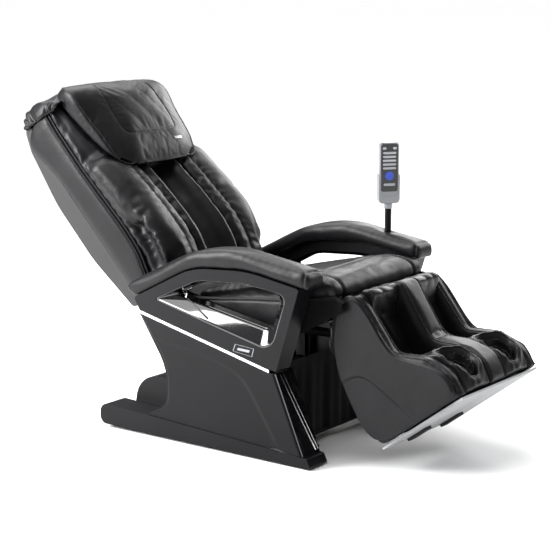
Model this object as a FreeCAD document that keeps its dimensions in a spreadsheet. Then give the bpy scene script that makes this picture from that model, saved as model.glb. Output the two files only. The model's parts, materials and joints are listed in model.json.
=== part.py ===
"""Massage chair, semi-reclined, with its legrest partly raised.

Row frame, millimetres: +X is the sitter's left, -Y is the way the sitter faces, +Z is up. The origin is on the
floor under the middle of the chair's box. The backrest and the remote are drawn upright in frames of their own
and are put in place by their Placement.
"""
import FreeCAD
import Part
import math
import os

V = FreeCAD.Vector
X_AXIS = V(1, 0, 0)
Z_AXIS = V(0, 0, 1)
RIGHT, LEFT = -1, 1                       # the sitter's right is -X
SIDES = ((RIGHT, "right"), (LEFT, "left"))

doc = FreeCAD.newDocument("massage_chair")
sheet = doc.addObject("Spreadsheet::Sheet", "Sizes")
nodes = []                                # the objects that become files, in order

DIMENSIONS = {
    # widths across the chair, each measured from the middle plane
    "runner_outer": 382, "panel_outer": 375, "shell_inner": 285, "arm_inner": 300,
    "pad_outer": 371, "pad_inner": 277, "cover_half": 284,
    "seat_half": 258, "frame_outer": 268, "frame_tube": 25, "bracket": 6,
    # skins and strips
    "skin": 4, "liner": 3, "strip": 3, "trim": 4,
    # backrest, measured from its own rear plane
    "back_angle": 43, "back_origin_y": 363, "back_origin_z": 389, "back_half": 272, "back_skin": 10,
    "pad_half": 261, "wing_inner": 92, "wing_outer": 258, "pillow_half": 218, "flap_half": 236,
    # recline axis, from the row origin, and legrest axis
    "recline_y": 230, "recline_z": 430, "leg_axis_y": -452, "leg_axis_z": 505,
    "pivot_radius": 8, "pivot_play": 0.1, "plate_inner": 243.5, "plate": 6,
    # legrest
    "wall_inner": 195, "wall_outer": 243, "divider_half": 50, "tray_half": 236,
    "well_x": 122, "well_y": -797, "well_radius": 52,
    # massage mechanism
    "rail_radius": 9, "screw_radius": 8, "roller_radius": 27,
    # actuators
    "tube_radius": 15, "rod_radius": 9, "eye_radius": 20, "eye_hole": 13, "tie_radius": 10, "lever_pin_radius": 4,
    # small parts
    "bolt_radius": 5, "nozzle_radius": 4, "stub_radius": 5, "shaft_radius": 6,
    # remote
    "remote_x": 330, "remote_y": -255, "remote_turn": -40, "remote_width": 66, "remote_height": 196,
    "remote_base": 752, "post_radius": 11,
}


def fill_sheet():
    for row, (alias, value) in enumerate(DIMENSIONS.items(), start=1):
        sheet.set(f"A{row}", str(value))
        sheet.setAlias(f"A{row}", alias)
    doc.recompute()


def size(alias):
    return float(sheet.get(alias))


fill_sheet()

# ---------------------------------------------------------------- outlines, as (across, up, corner radius)

PANEL_SLOPE = 0.056                       # how fast the runner's top rises towards the rear


def runner_top(y):
    return 36 + PANEL_SLOPE * (y + 418)


RUNNER = [(-433, 4, 6), (436, 12, 26), (436, runner_top(436), 30), (-418, runner_top(-418), 10)]
PANEL = [(-398, runner_top(-398), 0), (236, runner_top(236), 0), (147, 118, 62), (147, 242, 190),
         (262, 415, 0), (-268, 290, 4), (-291, 288, 4)]
STRIP = [(262, 416, 0), (262, 425, 0), (-270, 299, 0), (-270, 290, 0)]
ARM_TOP = [(284, 464, 8), (40, 588, 300), (-180, 602, 500), (-382, 568, 8)]
ARM_SHELL = [(262, 426, 6)] + ARM_TOP + [(-296, 296, 4), (-270, 300, 0)]
ARM_OPENING = [(200, 468, 5), (20, 552, 160), (-170, 563, 350), (-338, 545, 28), (-277, 355, 55)]
ARM_PAD = [(338, 492, 12), (50, 641, 300), (-110, 668, 400), (-413, 617, 28), (-413, 566, 6),
           (-382, 568.5, 2), (-180, 602.5, 500), (40, 588.5, 300), (284, 464.5, 6)]
COVER = [(60, 16, 0), (405, 16, 8), (405, 56, 12), (364, 62, 12), (345, 178, 95), (60, 178, 10)]
SEAT = [(105, 443, 8), (105, 487, 14), (-330, 579, 70), (-443, 574, 34), (-443, 524, 10), (-365, 498, 20),
        (-315, 443, 10)]
LEG_WALL = [(-497, 555, 24), (-640, 378, 50), (-748, 382, 60), (-838, 346, 50), (-880, 280, 6),
            (-600, 76, 26), (-399, 360, 60), (-402, 440, 30)]
DIVIDER = [(-498, 556, 18), (-545, 562, 14), (-660, 392, 60), (-762, 390, 60), (-850, 358, 50),
           (-880, 282, 6), (-640, 120, 20), (-500, 330, 40)]
CALF_FLOOR = [(-425, 440, 20), (-496, 552, 18), (-546, 556, 18), (-530, 460, 40), (-590, 345, 60),
              (-640, 300, 40), (-660, 120, 20), (-600, 90, 16), (-425, 360, 50)]
FOOT_BLOCK = [(-664, 310, 20), (-700, 372, 20), (-770, 384, 50), (-846, 350, 50), (-878, 284, 6),
              (-664, 128, 10)]


def outline_edges(points):
    """Straight runs joined by arcs tangent to them, around a closed outline."""
    count = len(points)
    corners = []
    for i, (across, up, radius) in enumerate(points):
        here = V(across, up, 0)
        before = (V(*points[i - 1][:2], 0) - here).normalize()
        after = (V(*points[(i + 1) % count][:2], 0) - here).normalize()
        half = before.getAngle(after) / 2
        if radius == 0:
            corners.append((here, None, here))
            continue
        reach = radius / math.tan(half)
        middle = (before + after).normalize()
        bulge = here + middle * (radius / math.sin(half) - radius)
        corners.append((here + before * reach, bulge, here + after * reach))
    edges = []
    for i, (start, bulge, end) in enumerate(corners):
        if bulge is not None:
            edges.append(Part.Arc(start, bulge, end))
        following = corners[(i + 1) % count][0]
        run = following - end
        if run.Length > 1e-6:
            if run.dot(V(*points[(i + 1) % count][:2], 0) - V(*points[i][:2], 0)) < 0:
                raise ValueError(f"the corners at {points[i]} and the next one overlap")
            edges.append(Part.LineSegment(end, following))
    return edges


def inset(points, wall):
    """The same outline moved inwards by a wall's thickness, each corner's radius following it."""
    area = sum(a[0] * b[1] - b[0] * a[1] for a, b in zip(points, points[1:] + points[:1]))
    turn = 1 if area > 0 else -1
    moved = []
    for i, (across, up, radius) in enumerate(points):
        here = V(across, up, 0)
        along_in = (here - V(*points[i - 1][:2], 0)).normalize()
        along_out = (V(*points[(i + 1) % len(points)][:2], 0) - here).normalize()
        normal_in = V(-along_in.y, along_in.x, 0) * turn
        normal_out = V(-along_out.y, along_out.x, 0) * turn
        mitre = normal_in + normal_out
        place = here + mitre * (wall * 2 / mitre.dot(mitre))
        convex = along_in.cross(along_out).z * turn > 0
        fitted = max(radius - wall, 0) if convex else radius + wall
        moved.append((place.x, place.y, fitted if radius else 0))
    return moved


# ---------------------------------------------------------------- ways of making a piece

def keep(obj, label):
    """Marks an object as a sub-part with a file of its own."""
    obj.Label = label
    nodes.append(obj)
    return obj


def origin_plane(body, role):
    return next(f for f in body.Origin.OriginFeatures if f.Role == role)


def add_sketch(body, name, role, loops):
    sketch = body.newObject("Sketcher::SketchObject", name)
    sketch.AttachmentSupport = [(origin_plane(body, role), "")]
    sketch.MapMode = "FlatFace"
    for loop in loops:
        for edge in outline_edges(loop):
            sketch.addGeometry(edge, False)
    return sketch


def place_x(obj, expression):
    obj.setExpression("Placement.Base.x", expression)


def slab(name, loops, x_from, x_to, role="YZ_Plane"):
    """A body padded from one side-view outline, with any holes, between two distances from the middle plane."""
    body = doc.addObject("PartDesign::Body", name)
    sketch = add_sketch(body, f"{name}_outline", role, loops)
    pad = body.newObject("PartDesign::Pad", f"{name}_pad")
    pad.Profile = sketch
    pad.setExpression("Length", f"({x_to}) - ({x_from})")
    place_x(body, x_from)
    doc.recompute()
    return body


def sided(side, inner, outer):
    """The low and high ends of a span that lies between two distances out from the middle, on one side."""
    return (inner, outer) if side == LEFT else (f"-({outer})", f"-({inner})")


def side_slab(name, side, loops, inner, outer):
    low, high = sided(side, inner, outer)
    return slab(name, loops, low, high)


def hollow(body, loop, side, depth):
    """Cuts a pocket into a side slab from its inner face, to a depth that leaves the outer skin."""
    name = f"{body.Name}_hollow"
    sketch = add_sketch(body, name, "YZ_Plane", [loop])
    pocket = body.newObject("PartDesign::Pocket", f"{name}_cut")
    pocket.Profile = sketch
    pad = next(f for f in body.Group if f.TypeId == "PartDesign::Pad")
    pocket.setExpression("Length", depth)
    if side == RIGHT:
        sketch.setExpression("AttachmentOffset.Base.z", f"{pad.Name}.Length")
    pocket.Reversed = side == LEFT
    before = pad.Shape.Volume
    doc.recompute()
    if pocket.Shape.Volume > 0.9 * before:
        raise ValueError(f"{name} cut nothing")
    return body


def box(name, x_span, y_span, z_span):
    """A block between three pairs of expressions or numbers."""
    block = doc.addObject("Part::Box", name)
    for size_name, axis, (low, high) in zip(("Length", "Width", "Height"), "xyz", (x_span, y_span, z_span)):
        block.setExpression(size_name, f"({high}) - ({low})")
        block.setExpression(f"Placement.Base.{axis}", f"{low}")
    return block


def rod(name, start, end, radius):
    """A round bar from one point to another."""
    bar = doc.addObject("Part::Cylinder", name)
    bar.setExpression("Radius", radius)
    along = V(*end) - V(*start)
    bar.Height = along.Length
    bar.Placement = FreeCAD.Placement(V(*start), FreeCAD.Rotation(Z_AXIS, along))
    return bar


def cut(name, base, tools):
    if len(tools) > 1:
        tool = doc.addObject("Part::MultiFuse", f"{name}_tools")
        tool.Shapes = tools
    else:
        tool = tools[0]
    result = doc.addObject("Part::Cut", name)
    result.Base, result.Tool = base, tool
    return result


def fuse(name, pieces):
    result = doc.addObject("Part::MultiFuse", name)
    result.Shapes = pieces
    result.Refine = True
    return result


def group(name, pieces):
    """Separate solids that share one node."""
    result = doc.addObject("Part::Compound", name)
    result.Links = pieces
    return result


# ---------------------------------------------------------------- frames of their own

def back_placement(x=0.0):
    """The backrest's own frame: u up along its rear plane, its front towards -Y, tilted back about X."""
    return FreeCAD.Placement(V(x, size("back_origin_y"), size("back_origin_z")),
                             FreeCAD.Rotation(X_AXIS, -size("back_angle")))


def back_point(x, depth, up):
    """A point of the backrest's frame: depth in front of its rear plane, up along it."""
    return tuple(back_placement().multVec(V(x, -depth, up)))


def in_back(obj):
    """Tilts and places an object that was drawn in the backrest's frame."""
    obj.setExpression("Placement.Base.y", "Sizes.back_origin_y")
    obj.setExpression("Placement.Base.z", "Sizes.back_origin_z")
    obj.setExpression("Placement.Rotation.Axis.x", "1")
    obj.setExpression("Placement.Rotation.Axis.y", "0")
    obj.setExpression("Placement.Rotation.Axis.z", "0")
    obj.setExpression("Placement.Rotation.Angle", "-Sizes.back_angle")
    return obj


def back_slab(name, outline, x_from, x_to):
    """A slab in the backrest's frame, its outline given as (depth in front of the rear plane, up, radius)."""
    loop = [(-depth, up, radius) for depth, up, radius in outline]
    return in_back(slab(name, [loop], x_from, x_to))


def back_box(name, x_span, depth_span, up_span):
    """A block in the backrest's frame."""
    (x_low, x_high), (near, far), (low, high) = x_span, depth_span, up_span
    return back_slab(name, [(near, low, 0), (near, high, 0), (far, high, 0), (far, low, 0)], x_low, x_high)


def back_rod(name, start, end, radius):
    return rod(name, back_point(*start), back_point(*end), radius)


# ---------------------------------------------------------------- base, side shells and arms

def side_shells():
    shells = {"runner": ("runner_outer", RUNNER), "side_panel": ("panel_outer", PANEL)}
    for name, (outer, outline) in shells.items():
        pair = []
        depth = f"Sizes.{outer} - Sizes.shell_inner - Sizes.skin"
        for side, word in SIDES:
            shell = side_slab(f"{word}_{name}", side, [outline], "Sizes.shell_inner", f"Sizes.{outer}")
            pair.append(hollow(shell, inset(outline, size("skin")), side, depth))
        keep(group(f"{name}s", pair), f"{name}s")


def arms():
    shells = []
    pads = []
    for side, word in SIDES:
        shells.append(side_slab(f"{word}_arm_block", side, [ARM_SHELL, ARM_OPENING], "Sizes.arm_inner",
                                "Sizes.panel_outer"))
        pad = side_slab(f"{word}_arm_pad_block", side, [ARM_PAD], "Sizes.pad_inner", "Sizes.pad_outer")
        if side == LEFT:
            foot = (size("remote_x"), size("remote_y"))
            well = rod("post_well", (*foot, 590), (*foot, 700), "Sizes.post_radius + 1")
            pad = cut("left_arm_pad_bored", pad, [well])
        pads.append(pad)
    keep(group("arm_shells", shells), "arm_shells")
    keep(group("arm_pads", pads), "arm_pads")


def trims():
    rings = []
    strips = []
    fronts = []
    for side, word in SIDES:
        loops = [ARM_OPENING, inset(ARM_OPENING, size("trim"))]
        rings.append(side_slab(f"{word}_scoop", side, [inset(loops[0], 0.3), inset(loops[1], 0.3)],
                               "Sizes.arm_inner", "Sizes.panel_outer - 2"))
        strips.append(side_slab(f"{word}_strip", side, [STRIP], "Sizes.panel_outer - Sizes.trim",
                                "Sizes.panel_outer + Sizes.strip"))
        front = [(-291.5, 288, 0), (-295.5, 289.5, 0), (-402.5, runner_top(-402) + 1, 0),
                 (-398.5, runner_top(-398) + 1, 0)]
        fronts.append(side_slab(f"{word}_front", side, [front], "Sizes.shell_inner", "Sizes.panel_outer + 1"))
    keep(group("scoop_trims", rings), "scoop_trims")
    keep(group("chrome_strips", strips), "chrome_strips")
    keep(group("front_trims", fronts), "front_trims")


def inner_liners():
    """Flat covers that close the hollow side panels on the inside."""
    plates = [side_slab(f"{word}_liner", side, [inset(PANEL, size("skin") + 0.5)], "Sizes.shell_inner",
                        "Sizes.shell_inner + Sizes.liner") for side, word in SIDES]
    keep(group("side_liners", plates), "side_liners")


def feet():
    pads = []
    for side, word in SIDES:
        for place, y, top in (("front", -370, 4.3), ("rear", 380, 11.2)):
            foot = doc.addObject("Part::Cone", f"{word}_{place}_foot")
            foot.Radius1, foot.Radius2 = 15, 18
            foot.Height = top
            foot.Placement.Base = V(side * 325, y, 0)
            pads.append(foot)
    keep(group("rubber_feet", pads), "rubber_feet")


def base_cover():
    """The moulded cover across the rear of the base, open below and in front, with its power panel."""
    body = slab("base_cover_block", [COVER], "-Sizes.cover_half", "Sizes.cover_half")
    inside = slab("base_cover_inside", [[(40, 0, 0), (401, 0, 0), (401, 52, 8), (360, 58, 8), (341, 174, 91),
                                         (40, 174, 0)]],
                  "-Sizes.cover_half + Sizes.skin", "Sizes.cover_half - Sizes.skin")
    port = box("inlet_port", (58, 90), (398, 408), (24, 48))
    rocker = box("rocker_port", (108, 130), (398, 408), (24, 48))
    keep(cut("base_cover", body, [inside, port, rocker]), "base_cover")
    shell = box("inlet_shell", (58.3, 89.7), (385, 405.5), (24.3, 47.7))
    socket = box("inlet_socket", (62, 86), (390, 406), (28, 44))
    pins = [box(f"inlet_pin_{i}", (x - 1, x + 1), (389, 402), (34, 38)) for i, x in enumerate((68, 74, 80))]
    keep(fuse("power_inlet", [cut("inlet_body", shell, [socket])] + pins), "power_inlet")
    keep(box("power_switch", (109, 129), (396, 407), (27, 45)), "power_switch")


def base_frame():
    tube = "Sizes.frame_tube"
    inner = "Sizes.frame_outer - Sizes.frame_tube"
    members = []
    for side, word in SIDES:
        x_span = sided(side, inner, "Sizes.frame_outer")
        members.append(box(f"{word}_floor_rail", x_span, (-370, 340), (18, f"18 + {tube}")))
        members.append(box(f"{word}_seat_rail", x_span, (-300, 190), (405, f"405 + {tube}")))
        for place, y in (("front", -132), ("rear", 30)):
            members.append(box(f"{word}_{place}_post", x_span, (y, f"{y} + {tube}"), (18, 410)))
    reach = ("-Sizes.frame_outer", "Sizes.frame_outer")
    members.append(box("front_seat_rail", reach, (-300, f"-300 + {tube}"), (405, f"405 + {tube}")))
    members.append(box("rear_seat_rail", reach, (150, f"150 + {tube}"), (405, f"405 + {tube}")))
    members.append(box("front_floor_rail", reach, (-250, f"-250 + {tube}"), (18, f"18 + {tube}")))
    members.append(box("rear_floor_rail", reach, (30, f"30 + {tube}"), (18, f"18 + {tube}")))
    for name, (y, z) in (("recline_tie", RECLINE_TAIL), ("leg_tie", LEG_TAIL)):
        members.append(rod(name, (-250, y, z), (250, y, z), "Sizes.tie_radius"))
    keep(fuse("base_frame", members), "base_frame")


PIVOTS = {"recline": ("recline_y", "recline_z"), "leg": ("leg_axis_y", "leg_axis_z")}
RECLINE_BRACKET = [(120, 431, 0), (120, 445, 0), (214, 452, 20), (254, 448, 18), (252, 410, 18), (190, 404, 0),
                   (190, 431, 0)]
LEG_BRACKET = [(-220, 431, 0), (-220, 452, 8), (-330, 470, 40), (-446, 532, 22), (-476, 500, 18), (-440, 478, 30),
               (-330, 431, 20)]


def pivots():
    """Brackets bolted on the seat rails, with the pins that the backrest and the legrest turn on."""
    brackets = {"recline": RECLINE_BRACKET, "leg": LEG_BRACKET}
    plates = []
    pins = []
    for name, outline in brackets.items():
        y, z = (size(alias) for alias in PIVOTS[name])
        for side, word in SIDES:
            plate = side_slab(f"{word}_{name}_plate", side, [outline], "Sizes.frame_outer - Sizes.bracket",
                              "Sizes.frame_outer")
            hole = rod(f"{word}_{name}_hole", (side * 255, y, z), (side * 275, y, z), "Sizes.pivot_radius")
            plates.append(cut(f"{word}_{name}_bracket", plate, [hole]))
            shank = rod(f"{word}_{name}_shank", (side * 243, y, z), (side * 271, y, z), "Sizes.pivot_radius")
            head = rod(f"{word}_{name}_head", (side * 268.3, y, z), (side * 273, y, z),
                       "Sizes.pivot_radius + 5")
            pins.append(fuse(f"{word}_{name}_pin", [shank, head]))
    keep(group("pivot_brackets", plates), "pivot_brackets")
    keep(group("pivot_pins", pins), "pivot_pins")


def power_pack():
    keep(box("control_box", (-170, -30), (190, 330), (46, 130)), "control_box")
    pump = box("pump_case", (20, 170), (190, 310), (46, 120))
    nozzles = [rod(f"pump_nozzle_{i}", (60 + 24 * i, 190, 100), (60 + 24 * i, 165, 100), "Sizes.nozzle_radius")
               for i in range(4)]
    keep(fuse("air_pump", [pump] + nozzles), "air_pump")


def bolts():
    """Eight alike screws that hold the pivot brackets to the seat rails."""
    screws = []
    for side, word in SIDES:
        for i, y in enumerate((130, 180, -230, -290)):
            screws.append(rod(f"{word}_screw_{i}", (side * 268.2, y, 438), (side * 272, y, 438),
                              "Sizes.bolt_radius"))
    keep(group("bracket_screws", screws), "bracket_screws")


# ---------------------------------------------------------------- seat

def seat():
    keep(box("seat_board", ("-Sizes.seat_half + 20", "Sizes.seat_half - 20"), (-298, 100), (430.5, 442.5)),
         "seat_board")
    keep(slab("seat_cushion_block", [SEAT], "-Sizes.seat_half", "Sizes.seat_half"), "seat_cushion")
    keep(box("front_apron", ("-Sizes.shell_inner + 2", "Sizes.shell_inner - 2"), (-288, -283), (44, 312)),
         "front_apron")


# ---------------------------------------------------------------- backrest

BACK_REAR = [(0, 4, 20), (-34, 240, 500), (-34, 480, 500), (0, 690, 60), (30, 762, 30)]
BACK_TRAY = BACK_REAR + [(60, 766, 8), (36, 640, 20), (38, 20, 20)]
BACK_SIDE = [(38.3, 22, 20), (36.3, 640, 20), (60.3, 766, 8), (162, 764, 22), (160, 560, 300), (146, 385, 300),
             (150, 150, 60), (118, 60, 30), (80, 12, 20)]
BACK_PAD = [(150, 770, 20), (214, 806, 24), (214, 110, 60), (232, 40, 60), (232, -30, 40), (198, -54, 20),
            (151, -30, 14)]
WING = [(214.4, 116, 0), (214.4, 424, 6), (238, 424, 16), (262, 300, 150), (266, 160, 40), (240, 116, 20)]
PILLOW = [(217, 430, 14), (216, 800, 20), (286, 770, 50), (294, 600, 200), (262, 428, 24)]


def backrest_shells():
    tray = back_slab("back_tray", BACK_TRAY, "-Sizes.back_half", "Sizes.back_half")
    room = [(4, 8, 18), (-30, 241, 496), (-30, 479, 496), (4, 688, 58), (24, 744, 20), (80, 744, 0), (80, 8, 0)]
    hollowing = back_slab("back_room", room, "-Sizes.back_half + Sizes.skin", "Sizes.back_half - Sizes.skin")
    keep(cut("back_shell", tray, [hollowing]), "back_shell")
    sides = [back_slab(f"{word}_back_side", BACK_SIDE, *sided(side, "Sizes.back_half - Sizes.back_skin",
                                                              "Sizes.back_half")) for side, word in SIDES]
    keep(group("back_sides", sides), "back_sides")


def backrest_padding():
    keep(back_slab("back_pad_block", BACK_PAD, "-Sizes.pad_half", "Sizes.pad_half"), "back_pad")
    wings = [back_slab(f"{word}_back_wing", WING, *sided(side, "Sizes.wing_inner", "Sizes.wing_outer"))
             for side, word in SIDES]
    keep(group("back_wings", wings), "back_wings")
    keep(back_slab("head_pillow", PILLOW, "-Sizes.pillow_half", "Sizes.pillow_half"), "head_pillow")
    flap = [(30, 770, 0), (62, 818, 30), (160, 822, 30), (208, 810, 0), (210, 816, 0), (160, 829, 36),
            (56, 825, 36), (22, 772, 0)]
    keep(back_slab("pillow_flap", flap, "-Sizes.flap_half", "Sizes.flap_half"), "pillow_flap")


def backrest_frame():
    """Side plates from the recline pins up the back, joined by round ties, with the actuator's lever."""
    y, z = size("recline_y"), size("recline_z")
    members = []
    for side, word in SIDES:
        low, high = sided(side, "Sizes.plate_inner", "Sizes.plate_inner + Sizes.plate")
        bar = [(104, -62, 18), (80, 20, 40), (80, 735, 5), (130, 735, 5), (130, 20, 40), (146, -62, 18),
               (125, -84, 18)]
        plate = back_slab(f"{word}_back_plate", bar, low, high)
        hole = rod(f"{word}_back_bearing", (side * 240, y, z), (side * 255, y, z),
                   "Sizes.pivot_radius + Sizes.pivot_play")
        members.append(cut(f"{word}_back_arm", plate, [hole]))
    ends = 245
    members.append(rod("torque_tube", (-235, y, z), (235, y, z), "Sizes.pivot_radius + 4"))
    for side, word in SIDES:
        web = [(108, -75, 4), (108, -45, 4), (142, -45, 4), (142, -75, 4)]
        low, high = sided(side, "234", "Sizes.plate_inner + 1")
        members.append(cut(f"{word}_torque_flange", back_slab(f"{word}_flange", web, low, high),
                           [rod(f"{word}_flange_bore", (side * 236, y, z), (side * 252, y, z),
                                "Sizes.pivot_radius + 1")]))
    for name, up in (("upper_tie", 715), ("lower_tie", 34)):
        members.append(back_rod(name, (-ends, 105, up), (ends, 105, up), "Sizes.rail_radius"))
    for i, (low, high) in enumerate(((45.5, 59.5), (700.5, 714.5))):
        holder = back_box(f"rail_holder_{i}", ("-244", "244"), (26, 54), (low, high))
        bore = back_rod(f"holder_bore_{i}", (0, 40, low - 5), (0, 40, high + 5), "Sizes.screw_radius + 1")
        members.append(cut(f"bored_holder_{i}", holder, [bore]))
        for side, word in SIDES:
            x_span = sided(side, "236", "244")
            members.append(back_box(f"{word}_holder_link_{i}", x_span, (50, 84), (low, high)))
    lever = [(y + 26, z + 6, 14), (y - 16, z + 14, 14), (y - 10, z - 20, 14), (y + 26, z - 98, 16),
             (y + 60, z - 84, 16)]
    for side, word in SIDES:
        low, high = sided(side, "14", "20")
        plate = slab(f"{word}_lever_plate", [lever], low, high)
        members.append(plate)
    members.append(rod("lever_pin", (-20, y + 40, z - 80), (20, y + 40, z - 80), "Sizes.lever_pin_radius"))
    keep(fuse("back_frame", members), "back_frame")


# ---------------------------------------------------------------- massage mechanism

CARRIAGE_UP = 300                         # where the carriage stands on its rails
RAIL_X = 115
ARM_X = 82                                # each rocking arm, from the middle
ROCK_DEPTH = 76                           # the arms' cross shaft, in front of the rear plane
AXLE_DEPTH = 100
AXLE_REACH = 60                           # from the cross shaft to each axle, along the back


def massage_drive():
    rails = []
    for side, word in SIDES:
        x = side * RAIL_X
        rails.append(back_rod(f"{word}_rail", (x, 40, 60), (x, 40, 700), "Sizes.rail_radius"))
    keep(group("massage_rails", rails), "massage_rails")
    keep(back_box("screw_motor_case", ("-26", "26"), (14, 66), (14, 43)), "screw_motor")
    keep(back_rod("lead_screw_bar", (0, 40, 45), (0, 40, 716), "Sizes.screw_radius"), "lead_screw")


def carriage():
    """The carriage on its rails, its rocking arms on one cross shaft, and two axles of rollers."""
    plate = back_box("carriage_block", ("-142", "142"), (22, 58), (CARRIAGE_UP - 50, CARRIAGE_UP + 50))
    bores = [back_rod(f"carriage_bore_{i}", (x, 40, 200), (x, 40, 400), f"Sizes.{alias} + 0.5")
             for i, (x, alias) in enumerate(((-RAIL_X, "rail_radius"), (0, "screw_radius"),
                                             (RAIL_X, "rail_radius")))]
    ears = [back_box(f"carriage_ear_{i}", (f"{x - 5}", f"{x + 5}"), (57, 92), (CARRIAGE_UP - 14, CARRIAGE_UP + 14))
            for i, x in enumerate((-120, -44, 44, 120))]
    shaft_hole = back_rod("carriage_shaft_hole", (-150, ROCK_DEPTH, CARRIAGE_UP),
                          (150, ROCK_DEPTH, CARRIAGE_UP), "Sizes.shaft_radius + 0.1")
    keep(cut("carriage_cut", fuse("carriage_whole", [plate] + ears), bores + [shaft_hole]), "carriage_plate")
    keep(back_box("knead_motor_case", ("-36", "36"), (58.3, 104), (CARRIAGE_UP + 12, CARRIAGE_UP + 48)),
         "knead_motor")
    members = [back_rod("rock_shaft", (-124, ROCK_DEPTH, CARRIAGE_UP), (124, ROCK_DEPTH, CARRIAGE_UP),
                        "Sizes.shaft_radius")]
    rollers = {"upper": [], "lower": []}
    for side, word in SIDES:
        x = side * ARM_X
        outline = [(ROCK_DEPTH - 12, CARRIAGE_UP - 10, 6), (AXLE_DEPTH - 10, CARRIAGE_UP - AXLE_REACH - 10, 8),
                   (AXLE_DEPTH + 10, CARRIAGE_UP - AXLE_REACH - 10, 8), (ROCK_DEPTH + 12, CARRIAGE_UP, 20),
                   (AXLE_DEPTH + 10, CARRIAGE_UP + AXLE_REACH + 10, 8),
                   (AXLE_DEPTH - 10, CARRIAGE_UP + AXLE_REACH + 10, 8), (ROCK_DEPTH - 12, CARRIAGE_UP + 10, 6)]
        members.append(back_slab(f"{word}_rock_arm", outline, f"{x - 5}", f"{x + 5}"))
        for place, way in (("upper", 1), ("lower", -1)):
            up = CARRIAGE_UP + way * AXLE_REACH
            members.append(back_rod(f"{word}_{place}_stub", (x - 34, AXLE_DEPTH, up), (x + 34, AXLE_DEPTH, up),
                                    "Sizes.stub_radius"))
            for near, gap in ((-1, "in"), (1, "out")):
                start, end = x + near * 8, x + near * 28
                wheel = back_rod(f"{word}_{place}_{gap}", (start, AXLE_DEPTH, up), (end, AXLE_DEPTH, up),
                                 "Sizes.roller_radius")
                bore = back_rod(f"{word}_{place}_{gap}_bore", (start - near, AXLE_DEPTH, up),
                                (end + near, AXLE_DEPTH, up), "Sizes.stub_radius + 0.1")
                rollers[place].append(cut(f"{word}_{place}_{gap}_roller", wheel, [bore]))
    keep(fuse("rock_arms", members), "knead_arms")
    for place, wheels in rollers.items():
        keep(group(f"{place}_rollers", wheels), f"{place}_rollers")


# ---------------------------------------------------------------- actuators

RECLINE_TAIL = (-120, 230)
RECLINE_EYE = (270, 350)
LEG_TAIL = (42, 345)
LEG_EYE = (-425, 345)
ROD_LENGTH = 260


def actuator(name, tail, head, tube_length, motor_near, motor_far):
    """A linear actuator in the middle plane: housing and motor on the base, rod to the moving part."""
    tail_point, head_point = V(0, *tail), V(0, *head)
    way = (head_point - tail_point).normalize()
    down = V(0, way.z, -way.y) if way.y > 0 else V(0, -way.z, way.y)

    def at(distance, drop=0.0):
        return tuple(tail_point + way * distance + down * drop)

    tube = rod(f"{name}_tube", at(8), at(tube_length), "Sizes.tube_radius")
    clevis = rod(f"{name}_clevis", (-14, *tail), (14, *tail), "Sizes.eye_radius")
    gearbox = rod(f"{name}_gearbox", at(48, motor_near), at(48, motor_far), "Sizes.eye_radius + 4")
    case = fuse(f"{name}_case", [tube, clevis, gearbox])
    bore = rod(f"{name}_bore", at(20), at(tube_length + 10), "Sizes.rod_radius + 0.5")
    seat_hole = rod(f"{name}_tail_hole", (-20, *tail), (20, *tail), "Sizes.tie_radius + 0.3")
    well = rod(f"{name}_well", at(82), at(tube_length - 8), "Sizes.rod_radius + 3")
    housing = cut(f"{name}_housing", case, [bore, seat_hole, well])
    reach = (head_point - tail_point).Length
    shaft = rod(f"{name}_shaft", at(reach - ROD_LENGTH), at(reach - size("eye_hole") - 3), "Sizes.rod_radius")
    ring = rod(f"{name}_eye", (-11, *head), (11, *head), "Sizes.eye_radius")
    hole = rod(f"{name}_eye_hole", (-15, *head), (15, *head), "Sizes.eye_hole")
    keep(cut(f"{name}_ram", fuse(f"{name}_stem", [shaft, ring]), [hole]), f"{name}_rod")
    return housing


def actuators():
    housings = [actuator("recline", RECLINE_TAIL, RECLINE_EYE, 268, -18, 90),
                actuator("leg", LEG_TAIL, LEG_EYE, 340, 18, -56)]
    keep(group("actuator_pair", housings), "actuators")


# ---------------------------------------------------------------- legrest

def legrest_padding():
    walls = [side_slab(f"{word}_leg_wall", side, [LEG_WALL], "Sizes.wall_inner", "Sizes.wall_outer")
             for side, word in SIDES]
    keep(group("leg_walls", walls), "leg_walls")
    keep(slab("leg_divider_block", [DIVIDER], "-Sizes.divider_half", "Sizes.divider_half"), "leg_divider")
    floors = [side_slab(f"{word}_floor", side, [CALF_FLOOR], "Sizes.divider_half + 0.4", "Sizes.wall_inner - 0.4")
              for side, word in SIDES]
    keep(group("calf_floors", floors), "calf_floors")
    boots = []
    liners = []
    for side, word in SIDES:
        block = side_slab(f"{word}_foot_block", side, [FOOT_BLOCK], "Sizes.divider_half + 0.4",
                          "Sizes.wall_inner - 0.4")
        across, along = side * size("well_x"), size("well_y")
        well = rod(f"{word}_foot_well", (across, along, 275), (across, along, 420), "Sizes.well_radius")
        boots.append(cut(f"{word}_boot", block, [well]))
        cup = rod(f"{word}_cup", (across, along, 275.3), (across, along, 330), "Sizes.well_radius - 0.3")
        bowl = rod(f"{word}_bowl", (across, along, 281), (across, along, 340), "Sizes.well_radius - 6")
        liners.append(cut(f"{word}_foot_liner", cup, [bowl]))
    keep(group("foot_blocks", boots), "foot_blocks")
    keep(group("foot_liners", liners), "foot_liners")


TRAY_FRONT = (-882, 277)
TRAY_REAR = (-603, 71)


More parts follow.
